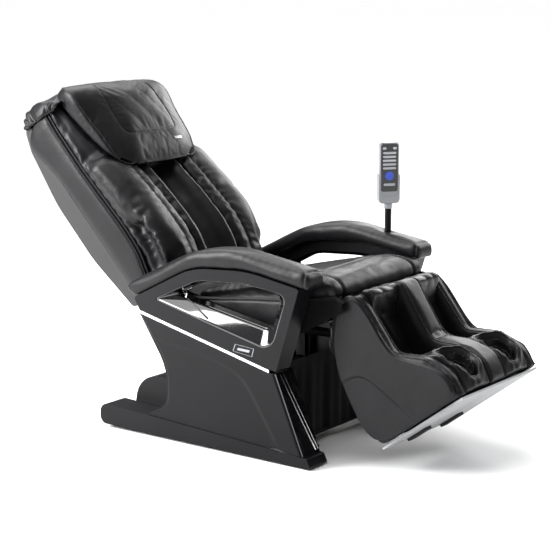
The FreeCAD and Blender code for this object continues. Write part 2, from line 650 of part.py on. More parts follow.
def legrest_hardware():
    """Side plates with their bearings, the tie behind the calves, the lever and the tray below."""
    y, z = size("leg_axis_y"), size("leg_axis_z")
    members = []
    for side, word in SIDES:
        bar = [(y - 18, z + 16, 14), (y - 20, z - 20, 20), (-462, 400, 60), (-640, 140, 20), (-600, 110, 14),
               (-420, 370, 50), (-424, 450, 30), (y + 18, z + 8, 12)]
        plate = side_slab(f"{word}_leg_plate", side, [bar], "Sizes.plate_inner", "Sizes.plate_inner + Sizes.plate")
        hole = rod(f"{word}_leg_bearing", (side * 240, y, z), (side * 255, y, z),
                   "Sizes.pivot_radius + Sizes.pivot_play")
        members.append(cut(f"{word}_leg_arm", plate, [hole]))
    for side, word in SIDES:
        ear = [(-424.6, 362, 0), (-409, 357, 6), (-405, 334, 10), (-420, 326, 10), (-447, 323, 0)]
        members.append(side_slab(f"{word}_leg_ear", side, [ear], "14", "20"))
    keep(group("leg_frame", members), "leg_frame")
    along = (V(0, *TRAY_FRONT) - V(0, *TRAY_REAR)).normalize()
    below = V(0, along.z, -along.y) * -1

    def corner(point, gap):
        moved = V(0, *point) + below * gap
        return (moved.y, moved.z, 0)

    tray = [corner(TRAY_REAR, 0.5), corner(TRAY_FRONT, 0.5), corner(TRAY_FRONT, 7), corner(TRAY_REAR, 7)]
    keep(slab("leg_tray", [tray], "-Sizes.tray_half", "Sizes.tray_half"), "leg_tray")
    bumpers = []
    for side, word in SIDES:
        low = V(*TRAY_REAR, 0) + V(along.y, along.z, 0) * 16
        high = V(*TRAY_REAR, 0) + V(along.y, along.z, 0) * 96
        drop = V(below.y, below.z, 0)
        pad = [tuple((low + drop * 7.1)[:2]) + (0,), tuple((high + drop * 7.1)[:2]) + (0,),
               tuple((high + drop * 17)[:2]) + (4,), tuple((low + drop * 17)[:2]) + (4,)]
        bumpers.append(side_slab(f"{word}_bumper", side, [pad], "82", "118"))
    keep(group("leg_bumpers", bumpers), "leg_bumpers")


# ---------------------------------------------------------------- remote control and its stand

def in_remote(obj):
    """Turns and places an object drawn upright about the post, its face towards -Y."""
    obj.setExpression("Placement.Base.x", "Sizes.remote_x")
    obj.setExpression("Placement.Base.y", "Sizes.remote_y")
    obj.setExpression("Placement.Base.z", "Sizes.remote_base")
    obj.setExpression("Placement.Rotation.Axis.x", "0")
    obj.setExpression("Placement.Rotation.Axis.y", "0")
    obj.setExpression("Placement.Rotation.Axis.z", "1")
    obj.setExpression("Placement.Rotation.Angle", "Sizes.remote_turn")
    return obj


def face_slab(name, loops, y_near, y_far):
    """A slab in the remote's frame: outlines in its face plane, padded from one depth to another."""
    body = doc.addObject("PartDesign::Body", name)
    sketch = add_sketch(body, f"{name}_outline", "XZ_Plane", loops)
    sketch.AttachmentOffset.Base = V(0, 0, -y_far)
    sketch.setExpression("AttachmentOffset.Base.z", f"-({y_far})")
    pad = body.newObject("PartDesign::Pad", f"{name}_pad")
    pad.Profile = sketch
    pad.setExpression("Length", f"({y_far}) - ({y_near})")
    return in_remote(body)


def rectangle(x_low, x_high, z_low, z_high, radius):
    return [(x_low, z_low, radius), (x_high, z_low, radius), (x_high, z_high, radius), (x_low, z_high, radius)]


REMOTE_FACE = 9                           # half the remote's depth
KEY_ROWS = 5
ROW_PITCH = 13
DIAL_UP = 82


def key_openings():
    """Each key's name and outline on the remote's face."""
    keys = []
    for word, x in (("power", -18), ("stop", 18)):
        keys.append((f"{word}_key", rectangle(x - 6, x + 6, 172, 180, 3)))
    for row in range(KEY_ROWS):
        z = 160 - ROW_PITCH * row
        keys.append((f"row_{row + 1}_key", rectangle(-23, 23, z - 3.5, z + 3.5, 3.4)))
    keys.append(("nudge_key", rectangle(-15, 15, DIAL_UP - 15, DIAL_UP + 15, 14.9)))
    keys.append(("lower_key", rectangle(-20, 20, 48, 56, 3.5)))
    return keys


def remote():
    half = size("remote_width") / 2
    top = size("remote_height")
    keys = key_openings()
    face_loop = rectangle(-half + 3, half - 3, 28, top - 5, 9)
    shell = face_slab("remote_shell_block", [rectangle(-half, half, 0, top, 12)], -REMOTE_FACE, REMOTE_FACE)
    recess = face_slab("remote_recess", [face_loop], -REMOTE_FACE - 1, -REMOTE_FACE + 2)
    room = face_slab("remote_room", [rectangle(-half + 5, half - 5, 33, top - 9, 7)], -REMOTE_FACE + 1, 5)
    keep(cut("remote_shell", shell, [recess, room]), "remote_shell")
    windows = [inset(outline, -0.4) for _, outline in keys]
    plate = face_slab("remote_face", [inset(face_loop, 0.2)] + windows, -REMOTE_FACE - 0.4, -REMOTE_FACE + 1.9)
    keep(plate, "remote_face")
    for name, outline in keys:
        keep(face_slab(name, [outline], -REMOTE_FACE - 2.2, -REMOTE_FACE + 1.4), name)
    foot = (size("remote_x"), size("remote_y"))
    keep(rod("remote_post", (*foot, 604), (*foot, size("remote_base") - 14), "Sizes.post_radius"), "remote_post")
    cradle = face_slab("cradle_block", [rectangle(-half - 4, half + 4, -12, 92, 14)], -REMOTE_FACE - 2,
                       REMOTE_FACE + 4)
    pocket = face_slab("cradle_room", [rectangle(-half - 0.5, half + 0.5, -0.4, 120, 12.4)], -REMOTE_FACE - 0.4,
                       REMOTE_FACE + 0.5)
    window = face_slab("cradle_window", [rectangle(-half + 3, half - 3, 12, 120, 9)], -REMOTE_FACE - 8,
                       -REMOTE_FACE + 1)
    socket = rod("cradle_socket", (*foot, size("remote_base") - 13.6), (*foot, size("remote_base") - 30),
                 "Sizes.post_radius + 3")
    bore = rod("cradle_bore", (*foot, size("remote_base") - 13.9), (*foot, size("remote_base") - 40),
               "Sizes.post_radius + 0.2")
    cup = cut("cradle_cup", cradle, [pocket, window])
    keep(cut("remote_cradle", fuse("cradle_whole", [cup, socket]), [bore]), "remote_cradle")


# ---------------------------------------------------------------- build, check and write

def check():
    doc.recompute()
    for obj in doc.Objects:
        bad = {"Invalid", "Error"} & set(obj.State)
        if bad:
            raise ValueError(f"{obj.Label}: {bad}")
    for obj in nodes:
        if obj.Shape.isNull() or not obj.Shape.isValid() or not obj.Shape.Solids:
            raise ValueError(f"{obj.Label}: no valid solid")


def write():
    os.makedirs("parts", exist_ok=True)
    for old in os.listdir("parts"):
        os.remove(os.path.join("parts", old))
    for obj in nodes:
        obj.Shape.exportStep(f"parts/{obj.Label}.step")


def build():
    side_shells()
    arms()
    trims()
    inner_liners()
    feet()
    base_cover()
    base_frame()
    pivots()
    power_pack()
    bolts()
    seat()
    backrest_shells()
    backrest_padding()
    backrest_frame()
    massage_drive()
    carriage()
    actuators()
    legrest_padding()
    legrest_hardware()
    remote()


build()
check()
write()
box_all = FreeCAD.BoundBox()
for part in nodes:
    box_all.add(part.Shape.BoundBox)
print(len(nodes), "nodes")
print("box", box_all)
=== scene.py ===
"""Looks of the massage chair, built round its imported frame. Metres, in the row frame."""
import json
import math

import bmesh
import bpy
import numpy as np
from mathutils import Matrix, Vector, noise
from mathutils.bvhtree import BVHTree


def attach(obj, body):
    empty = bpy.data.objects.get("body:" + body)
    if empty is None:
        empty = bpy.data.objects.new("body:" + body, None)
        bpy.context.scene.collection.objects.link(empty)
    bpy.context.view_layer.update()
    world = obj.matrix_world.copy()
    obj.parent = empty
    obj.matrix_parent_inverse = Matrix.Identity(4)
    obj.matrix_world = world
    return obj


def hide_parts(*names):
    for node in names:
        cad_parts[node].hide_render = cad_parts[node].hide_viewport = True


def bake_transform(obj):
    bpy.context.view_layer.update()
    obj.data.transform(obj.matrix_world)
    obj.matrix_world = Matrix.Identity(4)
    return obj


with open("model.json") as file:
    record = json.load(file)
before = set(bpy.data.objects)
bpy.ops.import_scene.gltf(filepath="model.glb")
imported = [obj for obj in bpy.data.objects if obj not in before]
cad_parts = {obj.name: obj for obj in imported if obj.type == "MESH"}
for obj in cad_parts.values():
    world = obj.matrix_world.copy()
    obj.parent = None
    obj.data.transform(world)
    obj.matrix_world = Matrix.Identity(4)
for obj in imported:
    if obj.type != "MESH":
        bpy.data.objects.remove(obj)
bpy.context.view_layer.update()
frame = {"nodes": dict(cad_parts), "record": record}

NODES = frame["nodes"]
SIDES = (-1, 1)                           # the sitter's right is -X
NAMED_SIDES = ((-1, "right"), (1, "left"))
BACK_TILT = math.radians(43)
BACK_ORIGIN = np.array([0.0, 0.363, 0.389])
BACK_UP = np.array([0.0, math.sin(BACK_TILT), math.cos(BACK_TILT)])
BACK_OUT = np.array([0.0, -math.cos(BACK_TILT), math.sin(BACK_TILT)])


# ---------- camera, light and floor

TARGET = Vector((0.0, -0.018, 0.514))
AZIMUTH, ELEVATION = math.radians(-53.79), math.radians(11.0)
DISTANCE = 5.778
LENS = 112.45                             # millimetres, on a 36 mm sensor
FLOOR_HALF = 200


def linked(name, data):
    """A new object in the scene."""
    obj = bpy.data.objects.new(name, data)
    bpy.context.scene.collection.objects.link(obj)
    return obj


def look(obj, direction):
    obj.rotation_mode = "QUATERNION"
    obj.rotation_quaternion = direction.to_track_quat("-Z", "Y")


def add_camera():
    data = bpy.data.cameras.new("camera")
    data.lens = LENS
    data.sensor_width = 36
    data.clip_end = 200
    camera = linked("camera", data)
    level = math.cos(ELEVATION)
    away = Vector((math.sin(AZIMUTH) * level, -math.cos(AZIMUTH) * level, math.sin(ELEVATION)))
    camera.location = TARGET + away * DISTANCE
    look(camera, -away)
    bpy.context.scene.camera = camera


def softbox(name, place, aim, width, height, power):
    data = bpy.data.lights.new(name, "AREA")
    data.shape = "RECTANGLE"
    data.size, data.size_y = width, height
    data.energy = power
    lamp = linked(name, data)
    lamp.location = place
    look(lamp, Vector(aim) - Vector(place))


def add_sun(strength, softness, toward):
    """A broad soft light from far away, which keeps the floor white."""
    data = bpy.data.lights.new("sun", "SUN")
    data.energy = strength
    data.angle = math.radians(softness)
    look(linked("sun", data), Vector(toward))


def add_studio():
    softbox("rear_left_box", (-3.2, 2.8, 1.9), (0, 0.4, 0.8), 1.8, 1.3, 215)
    softbox("high_left_box", (-2.9, 2.7, 3.0), (0, 0, 0.5), 2.0, 1.4, 150)
    softbox("top_box", (1.0, 2.0, 3.4), (0, 0, 0.5), 3.0, 2.5, 94)
    softbox("right_box", (3.2, -0.1, 2.0), (0, -0.1, 0.5), 3.8, 1.6, 112)
    add_sun(2.5, 60, (0.25, -0.35, -1.0))
    world = bpy.data.worlds.new("studio")
    bpy.context.scene.world = world
    world.use_nodes = True
    nodes, links = world.node_tree.nodes, world.node_tree.links
    place = nodes.new("ShaderNodeTexCoord")
    split = nodes.new("ShaderNodeSeparateXYZ")
    ramp = nodes.new("ShaderNodeValToRGB")
    ramp.color_ramp.elements[0].position = 0.0
    ramp.color_ramp.elements[0].color = (0.16, 0.16, 0.165, 1)
    ramp.color_ramp.elements[1].position = 0.9
    ramp.color_ramp.elements[1].color = (0.40, 0.40, 0.40, 1)
    links.new(place.outputs["Generated"], split.inputs[0])
    links.new(split.outputs["Z"], ramp.inputs["Fac"])
    links.new(ramp.outputs["Color"], nodes["Background"].inputs["Color"])
    nodes["Background"].inputs["Strength"].default_value = 1.0
    bpy.context.scene.view_settings.view_transform = "Standard"


def add_floor():
    mesh = bpy.data.meshes.new("floor")
    corners = [(x * FLOOR_HALF, y * FLOOR_HALF, 0) for x, y in ((-1, -1), (1, -1), (1, 1), (-1, 1))]
    mesh.from_pydata(corners, [], [(0, 1, 2, 3)])
    floor = linked("floor", mesh)
    material = bpy.data.materials.new("studio_floor")
    material.use_nodes = True
    shader = material.node_tree.nodes["Principled BSDF"]
    shader.inputs["Base Color"].default_value = (0.97, 0.97, 0.97, 1)
    shader.inputs["Roughness"].default_value = 0.9
    mesh.materials.append(material)


# ---------- materials

class Recipe:
    """A Principled material under construction: noise layers for its colour, gloss and relief."""

    def __init__(self, name, roughness, metallic=0.0, specular=0.5):
        self.material = bpy.data.materials.new(name)
        self.material.use_nodes = True
        tree = self.material.node_tree
        self.nodes, self.links = tree.nodes, tree.links
        self.shader = self.nodes["Principled BSDF"]
        self.shader.inputs["Roughness"].default_value = roughness
        self.shader.inputs["Metallic"].default_value = metallic
        self.shader.inputs["Specular IOR Level"].default_value = specular
        self.place = self.nodes.new("ShaderNodeTexCoord").outputs["Object"]
        self.relief = None

    def placed(self, kind, vector=None, **inputs):
        """A node that reads the object's own coordinates, or a vector made from them."""
        made = self.nodes.new(kind)
        for name, value in inputs.items():
            made.inputs[name].default_value = value
        self.links.new(vector or self.place, made.inputs["Vector"])
        return made

    def stretched(self, scale):
        return self.placed("ShaderNodeMapping", Scale=scale).outputs["Vector"]

    def noise(self, scale, detail, vector=None):
        return self.placed("ShaderNodeTexNoise", vector, Scale=scale, Detail=detail).outputs["Fac"]

    def cells(self, scale):
        made = self.placed("ShaderNodeTexVoronoi", Scale=scale)
        made.feature = "DISTANCE_TO_EDGE"
        return made.outputs["Distance"]

    def wave(self, scale, direction, distortion):
        made = self.placed("ShaderNodeTexWave", Scale=scale, Distortion=distortion)
        made.bands_direction = direction
        return made.outputs["Fac"]

    def colour(self, source, low, high):
        ramp = self.nodes.new("ShaderNodeValToRGB")
        for element, position, tint in zip(ramp.color_ramp.elements, (0.3, 0.7), (low, high)):
            element.position = position
            element.color = (*tint, 1)
        self.links.new(source, ramp.inputs["Fac"])
        self.links.new(ramp.outputs["Color"], self.shader.inputs["Base Color"])

    def gloss(self, source, low, high):
        spread = self.nodes.new("ShaderNodeMapRange")
        spread.inputs["To Min"].default_value = low
        spread.inputs["To Max"].default_value = high
        self.links.new(source, spread.inputs["Value"])
        self.links.new(spread.outputs["Result"], self.shader.inputs["Roughness"])

    def bump(self, source, strength, distance):
        made = self.nodes.new("ShaderNodeBump")
        made.inputs["Strength"].default_value = strength
        made.inputs["Distance"].default_value = distance
        self.links.new(source, made.inputs["Height"])
        if self.relief:
            self.links.new(self.relief, made.inputs["Normal"])
        self.relief = made.outputs["Normal"]
        self.links.new(self.relief, self.shader.inputs["Normal"])

    def layer(self, kind, weight, roughness):
        """A coat or a sheen over the whole surface."""
        self.shader.inputs[f"{kind} Weight"].default_value = weight
        self.shader.inputs[f"{kind} Roughness"].default_value = roughness


def shades(tint, spread):
    return tuple(c * (1 - spread) for c in tint), tuple(c * (1 + spread) for c in tint)


def leather(name, tint, low_gloss, high_gloss, specular=0.5):
    """Grained leather: pebbles about 1.3 mm across, faint creases, and rubbed patches."""
    made = Recipe(name, low_gloss, specular=specular)
    made.colour(made.noise(9, 4), *shades(tint, 0.3))
    made.gloss(made.noise(14, 4), low_gloss, high_gloss)
    made.bump(made.noise(38, 3), 0.22, 0.004)
    made.bump(made.cells(760), 0.16, 0.0005)
    return made.material


def paint(name, tint, roughness, grain=900, depth=0.05, coat=0.0, metallic=0.0, specular=0.5):
    """Moulded plastic or painted metal: faint mottling and a fine skin."""
    made = Recipe(name, roughness, metallic, specular)
    made.colour(made.noise(7, 2), *shades(tint, 0.12))
    made.gloss(made.noise(30, 3), roughness * 0.9, min(roughness * 1.15, 1))
    made.bump(made.noise(grain, 2), depth, 0.0004)
    if coat:
        made.layer("Coat", coat, 0.04)
    return made.material


def metal(name, tint, roughness):
    """Bare metal with fine level lines."""
    made = Recipe(name, roughness, metallic=1.0)
    lines = made.noise(6, 3, made.stretched((4, 4, 260)))
    made.colour(lines, *shades(tint, 0.07))
    made.gloss(lines, roughness * 0.8, roughness * 1.3)
    made.bump(lines, 0.04, 0.0003)
    return made.material


def woven(name, tint):
    made = Recipe(name, 0.85, specular=0.12)
    made.colour(made.noise(300, 2), *shades(tint, 0.4))
    made.bump(made.wave(420, "X", 0.6), 0.3, 0.0006)
    made.bump(made.wave(420, "Z", 0.6), 0.3, 0.0006)
    made.layer("Sheen", 0.04, 0.4)
    return made.material


def plywood(name, tint):
    made = Recipe(name, 0.7)
    made.colour(made.noise(5, 5, made.stretched((30, 2, 30))), *shades(tint, 0.25))
    made.bump(made.noise(60, 4, made.stretched((6, 1, 6))), 0.2, 0.0006)
    return made.material


MATERIALS = {
    "shell_black": paint("shell_black", (0.005, 0.005, 0.006), 0.30, specular=0.17),
    "piano_black": paint("piano_black", (0.004, 0.004, 0.005), 0.06, depth=0.01, coat=1.0),
    "chrome_trim": metal("chrome_trim", (0.86, 0.87, 0.88), 0.10),
    "black_leather": leather("black_leather", (0.005, 0.005, 0.006), 0.34, 0.46, specular=0.25),
    "liner_leather": leather("liner_leather", (0.005, 0.005, 0.006), 0.30, 0.42, specular=0.3),
    "skirt_fabric": woven("skirt_fabric", (0.002, 0.002, 0.0025)),
    "back_plastic": paint("back_plastic", (0.013, 0.013, 0.014), 0.42, grain=500, depth=0.12),
    "grey_plastic": paint("grey_plastic", (0.36, 0.37, 0.38), 0.5, grain=500, depth=0.1),
    "black_rubber": paint("black_rubber", (0.014, 0.014, 0.014), 0.75, grain=400, depth=0.2),
    "black_steel": paint("black_steel", (0.004, 0.004, 0.0045), 0.5, grain=350, depth=0.15,
                         specular=0.15),
    "bright_steel": metal("bright_steel", (0.60, 0.61, 0.63), 0.28),
    "machine_plastic": paint("machine_plastic", (0.04, 0.04, 0.045), 0.5, grain=500, depth=0.12),
    "board": plywood("board", (0.45, 0.33, 0.20)),
    "silver_plastic": paint("silver_plastic", (0.34, 0.35, 0.37), 0.36, coat=0.2, metallic=0.4),
    "remote_black": paint("remote_black", (0.006, 0.006, 0.008), 0.12, depth=0.02, coat=0.6),
    "key_rubber": paint("key_rubber", (0.55, 0.57, 0.61), 0.55),
    "dial_blue": paint("dial_blue", (0.02, 0.09, 0.70), 0.22, depth=0.02, coat=0.5),
}


def dress_cad_nodes():
    """Every CAD node takes the procedural material of its slot in the record."""
    for part in frame["record"]["subparts"]:
        mesh = NODES[part["node"]].data
        mesh.materials.clear()
        mesh.materials.append(MATERIALS[part["material_slot"]])


# ---------- shapes

def smoothstep(low, high, value):
    t = np.clip((np.asarray(value, float) - low) / (high - low), 0, 1)
    return t * t * (3 - 2 * t)


def spline(knots, at):
    """Values on a smooth curve through rows of (position, value, ...), without overshoot."""
    knots = np.asarray(knots, float)
    x, y = knots[:, 0], knots[:, 1:]
    at = np.clip(np.asarray(at, float), x[0], x[-1])
    run = np.diff(x)[:, None]
    slope = np.diff(y, axis=0) / run
    tangent = np.zeros_like(y)
    same = slope[1:] * slope[:-1] > 0
    weighted = 2 * slope[1:] * slope[:-1] / np.where(same, slope[1:] + slope[:-1], 1)
    tangent[1:-1] = np.where(same, weighted, 0)
    tangent[0], tangent[-1] = slope[0], slope[-1]
    i = np.clip(np.searchsorted(x, at) - 1, 0, len(x) - 2)
    h = run[i]
    t = ((at - x[i]) / h[:, 0])[:, None]
    made = ((1 + 2 * t) * (1 - t) ** 2 * y[i] + t * (1 - t) ** 2 * h * tangent[i]
            + t * t * (3 - 2 * t) * y[i + 1] + t * t * (t - 1) * h * tangent[i + 1])
    return made[:, 0] if made.shape[1] == 1 else made


def value_at(knots, position):
    return float(spline(knots, [position])[0])


def flowing(points, step=0.004, closed=False):
    """Evenly spaced points on a round-cornered curve through or near a few points."""
    points = np.asarray(points, float)
    for _ in range(3):                    # Chaikin's corner cutting
        a, b = (points, np.roll(points, -1, axis=0)) if closed else (points[:-1], points[1:])
        cut = np.stack([a * 0.75 + b * 0.25, a * 0.25 + b * 0.75], 1).reshape(-1, points.shape[-1])
        points = cut if closed else np.vstack([points[:1], cut[1:-1], points[-1:]])
    if closed:
        points = np.vstack([points, points[:1]])
    lengths = np.concatenate([[0], np.cumsum(np.linalg.norm(np.diff(points, axis=0), axis=1))])
    count = max(int(lengths[-1] / step), 2)
    at = np.linspace(0, lengths[-1], count + 1)
    made = np.stack([np.interp(at, lengths, points[:, k]) for k in range(points.shape[1])], 1)
    return made[:-1] if closed else made


def in_back(x, out, up):
    """Row-frame points from the backrest's own frame: across, out from its rear plane, and up along it."""
    x, out, up = (part[..., None] for part in np.broadcast_arrays(np.asarray(x, float), out, up))
    return BACK_ORIGIN + out * BACK_OUT + up * BACK_UP + x * np.array([1, 0, 0])


def to_back(points):
    """The backrest frame's (across, out, up) of row-frame points."""
    moved = points - BACK_ORIGIN
    return points[:, 0], moved @ BACK_OUT, moved @ BACK_UP


def add_object(name, mesh, slot, body):
    obj = linked(name, mesh)
    mesh.materials.append(MATERIALS[slot])
    if body:
        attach(obj, body)
    for polygon in mesh.polygons:
        polygon.use_smooth = True
    return obj


def add_padded(name, mesh, slot, body, fill, *nodes):
    """A padded piece that stands for some CAD nodes."""
    obj = add_object(name, mesh, slot, body)
    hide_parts(*nodes)
    return obj


def at_x(x, flat):
    """Points from (y, z) pairs, all at one distance across."""
    return np.column_stack([np.full(len(flat), x), flat])


def grid_faces(rows, columns, wrap):
    faces = []
    for r in range(rows - 1):
        for c in range(columns if wrap else columns - 1):
            d = (c + 1) % columns
            faces.append((r * columns + c, r * columns + d, (r + 1) * columns + d, (r + 1) * columns + c))
    return faces


def new_mesh(name, points, faces):
    mesh = bpy.data.meshes.new(name)
    mesh.from_pydata(points, [], faces)
    return mesh


def ring_mesh(name, rings, capped=True):
    """A tube of rings, each a closed loop of points; its two end rings are closed by a fan."""
    rings = np.asarray(rings, float)
    rows, columns = rings.shape[:2]
    points = list(map(tuple, rings.reshape(-1, 3)))
    faces = grid_faces(rows, columns, True)
    if capped:
        for ring, flip in ((0, True), (rows - 1, False)):
            middle = len(points)
            points.append(tuple(rings[ring].mean(0)))
            for c in range(columns):
                pair = (ring * columns + c, ring * columns + (c + 1) % columns)
                faces.append((middle, *(pair[::-1] if flip else pair)))
    mesh = new_mesh(name, points, faces)
    outwards(mesh)
    return mesh


def outwards(mesh):
    bm = bmesh.new()
    bm.from_mesh(mesh)
    bmesh.ops.recalc_face_normals(bm, faces=bm.faces)
    bm.to_mesh(mesh)
    bm.free()


def vertex_values(mesh, kind):
    made = np.empty(len(mesh.vertices) * 3)
    mesh.vertices.foreach_get(kind, made)
    return made.reshape(-1, 3)


def points_of(mesh):
    return vertex_values(mesh, "co")


def normals_of(mesh):
    return vertex_values(mesh, "normal")


def set_points(mesh, points):
    mesh.vertices.foreach_set("co", np.asarray(points, float).ravel())
    mesh.update()


def swell(mesh, amount):
    """Moves each point outwards by its own amount."""
    set_points(mesh, points_of(mesh) + normals_of(mesh) * amount[:, None])


def evaluated(obj):
    """The mesh of an object with its modifiers applied."""
    graph = bpy.context.evaluated_depsgraph_get()
    return bpy.data.meshes.new_from_object(obj.evaluated_get(graph))


def thicken(obj, thickness):
    obj.modifiers.new("thickness", "SOLIDIFY").thickness = thickness


def remeshed(name, mesh, smoothing, voxel=0.0045):
    """Even quads all over a closed mesh, with its edges rounded by smoothing."""
    obj = linked(name, mesh)
    remesh = obj.modifiers.new("voxels", "REMESH")
    remesh.mode = "VOXEL"
    remesh.voxel_size = voxel
    smooth = obj.modifiers.new("smooth", "SMOOTH")
    smooth.iterations = smoothing
    smooth.factor = 0.5
    made = evaluated(obj)
    bpy.data.objects.remove(obj)
    return made


def cad_copy(node, side=None):
    """A closed copy of a CAD node's mesh, or of what lies on one side of the middle plane."""
    bm = bmesh.new()
    bm.from_mesh(NODES[node].data)
    bmesh.ops.remove_doubles(bm, verts=bm.verts, dist=1e-5)
    if side:
        bmesh.ops.delete(bm, geom=[v for v in bm.verts if v.co.x * side < 0], context="VERTS")
    mesh = bpy.data.meshes.new(node)
    bm.to_mesh(mesh)
    bm.free()
    return mesh


def ripples(points, scale, seed):
    """Smooth noise in -1..1 at each point."""
    shift = Vector((seed * 7.3, seed * 3.1, seed * 5.7))
    return np.array([noise.noise(Vector(p) * scale + shift) for p in points])


PUFF_FRAMES = 14


def puff(mesh, held, cap, pressure=4.0, spare=0.0):
    """Blows a mesh up as cloth under pressure. Some points are held, and none moves further than the cap."""
    obj = linked("puff", mesh)
    group = obj.vertex_groups.new(name="held")
    group.add([int(i) for i in np.flatnonzero(held)], 1.0, "REPLACE")
    cloth = obj.modifiers.new("cloth", "CLOTH")
    settings = cloth.settings
    settings.quality = 5
    settings.mass = 0.3
    settings.tension_stiffness = settings.compression_stiffness = 20
    settings.bending_stiffness = 2.0
    settings.use_pressure = True
    settings.uniform_pressure_force = pressure
    settings.shrink_min = -spare
    settings.vertex_group_mass = "held"
    settings.effector_weights.gravity = 0
    cloth.collision_settings.use_collision = False
    before = points_of(mesh)
    scene = bpy.context.scene
    for number in range(1, PUFF_FRAMES + 1):
        scene.frame_set(number)
    blown = evaluated(obj)
    after = points_of(blown)
    scene.frame_set(1)
    bpy.data.objects.remove(obj)
    bpy.data.meshes.remove(blown)
    moved = after - before
    length = np.linalg.norm(moved, axis=1)
    limit = cap * np.tanh(length / cap) / np.maximum(length, 1e-9)
    set_points(mesh, before + moved * limit[:, None])


def relax(mesh, rounds):
    """Laplacian smoothing."""
    points = points_of(mesh)
    edges = np.empty(len(mesh.edges) * 2, int)
    mesh.edges.foreach_get("vertices", edges)
    a, b = edges.reshape(-1, 2).T
    degree = np.bincount(np.concatenate([a, b]), minlength=len(points))[:, None]
    for _ in range(rounds):
        total = np.zeros_like(points)
        np.add.at(total, a, points[b])
        np.add.at(total, b, points[a])
        points = 0.5 * points + 0.5 * total / np.maximum(degree, 1)
    set_points(mesh, points)


# ---------- seams

def on_surface(mesh, path):
    """The points of a surface nearest to a path's points, with the surface's normals there."""
    tree = BVHTree.FromPolygons([v.co for v in mesh.vertices], [tuple(p.vertices) for p in mesh.polygons])
    found = [tree.find_nearest(Vector(p)) for p in path]
    return np.array([f[0] for f in found]), np.array([f[1] for f in found])


def distance_to(points, path):
    """Each point's distance from the nearest point of a closely spaced path."""
    made = np.full(len(points), 1e9)
    for start in range(0, len(path), 64):
        block = path[start:start + 64]
        apart = np.linalg.norm(points[:, None, :] - block[None], axis=2)
        made = np.minimum(made, apart.min(1))
    return made


def groove(mesh, path, depth, width):
    """Presses a soft line into a surface along a path."""
    points = points_of(mesh)
    low, high = path.min(0) - 3 * width, path.max(0) + 3 * width
    near = np.all((points > low) & (points < high), axis=1)
    if not near.any():
        return
    apart = distance_to(points[near], path)
    points[near] -= normals_of(mesh)[near] * (depth * np.exp(-(apart / width) ** 2))[:, None]
    set_points(mesh, points)


def seam(mesh, path, depth, width):
    """Presses a line into a surface along the path nearest to the one given, and returns it."""
    line, _ = on_surface(mesh, path)
    groove(mesh, line, depth, width)
    return line


def tube(path, radius, sides=8, closed=False):
    """Points and faces of a round tube along a path."""
    path = np.asarray(path, float)
    ahead = np.roll(path, -1, axis=0) - np.roll(path, 1, axis=0)
    if not closed:
        ahead[0], ahead[-1] = path[1] - path[0], path[-1] - path[-2]
    ahead /= np.linalg.norm(ahead, axis=1)[:, None]
    side = np.cross(ahead, [0.3, 0.5, 0.81])
    side /= np.linalg.norm(side, axis=1)[:, None]
    over = np.cross(ahead, side)
    angles = np.linspace(0, 2 * math.pi, sides, endpoint=False)
    radius = np.broadcast_to(radius, len(path))
    rings = [path[i] + radius[i] * (np.cos(angles)[:, None] * side[i] + np.sin(angles)[:, None] * over[i])
             for i in range(len(path))]
    faces = grid_faces(len(path), sides, True)
    if closed:
        last = (len(path) - 1) * sides
        faces += [(last + c, last + (c + 1) % sides, (c + 1) % sides, c) for c in range(sides)]
    return np.concatenate(rings), faces


class Trimmings:
    """Piping and stitches gathered into one mesh."""

    def __init__(self):
        self.points = []
        self.faces = []
        self.count = 0

    def add(self, points, faces):
        self.points.append(points)
        self.faces += [tuple(i + self.count for i in face) for face in faces]
        self.count += len(points)

    def piping(self, mesh, path, radius, closed=False):
        spots, normals = on_surface(mesh, path)
        self.add(*tube(spots + normals * radius * 0.3, radius, closed=closed))

    def stitches(self, mesh, path, offset=0.0045, length=0.0042, pitch=0.0068, radius=0.0006, rows=(-1, 1)):
        """Rows of thread beside a seam, each stitch a short bar that dips at its ends."""
        spots, normals = on_surface(mesh, path)
        lengths = np.concatenate([[0], np.cumsum(np.linalg.norm(np.diff(spots, axis=0), axis=1))])
        starts = np.arange(pitch / 2, lengths[-1] - length, pitch)

        def at(distance, values):
            return np.stack([np.interp(distance, lengths, values[:, k]) for k in range(3)], 1)

        here, there = at(starts, spots), at(starts + length, spots)
        ups = at(starts + length / 2, normals)
        for row in rows:
            for a, b, up in zip(here, there, ups):
                across = np.cross(b - a, up)
                across *= row * offset / max(np.linalg.norm(across), 1e-9)
                line = np.array([a, a * 0.75 + b * 0.25 + up * radius, a * 0.25 + b * 0.75 + up * radius, b])
                self.add(*tube(line + across + up * radius * 0.2, radius, sides=5))

    def done(self, name, slot, body):
        mesh = new_mesh(name, np.concatenate(self.points).tolist(), self.faces)
        outwards(mesh)
        return add_object(name, mesh, slot, body)


# ---------- backrest padding

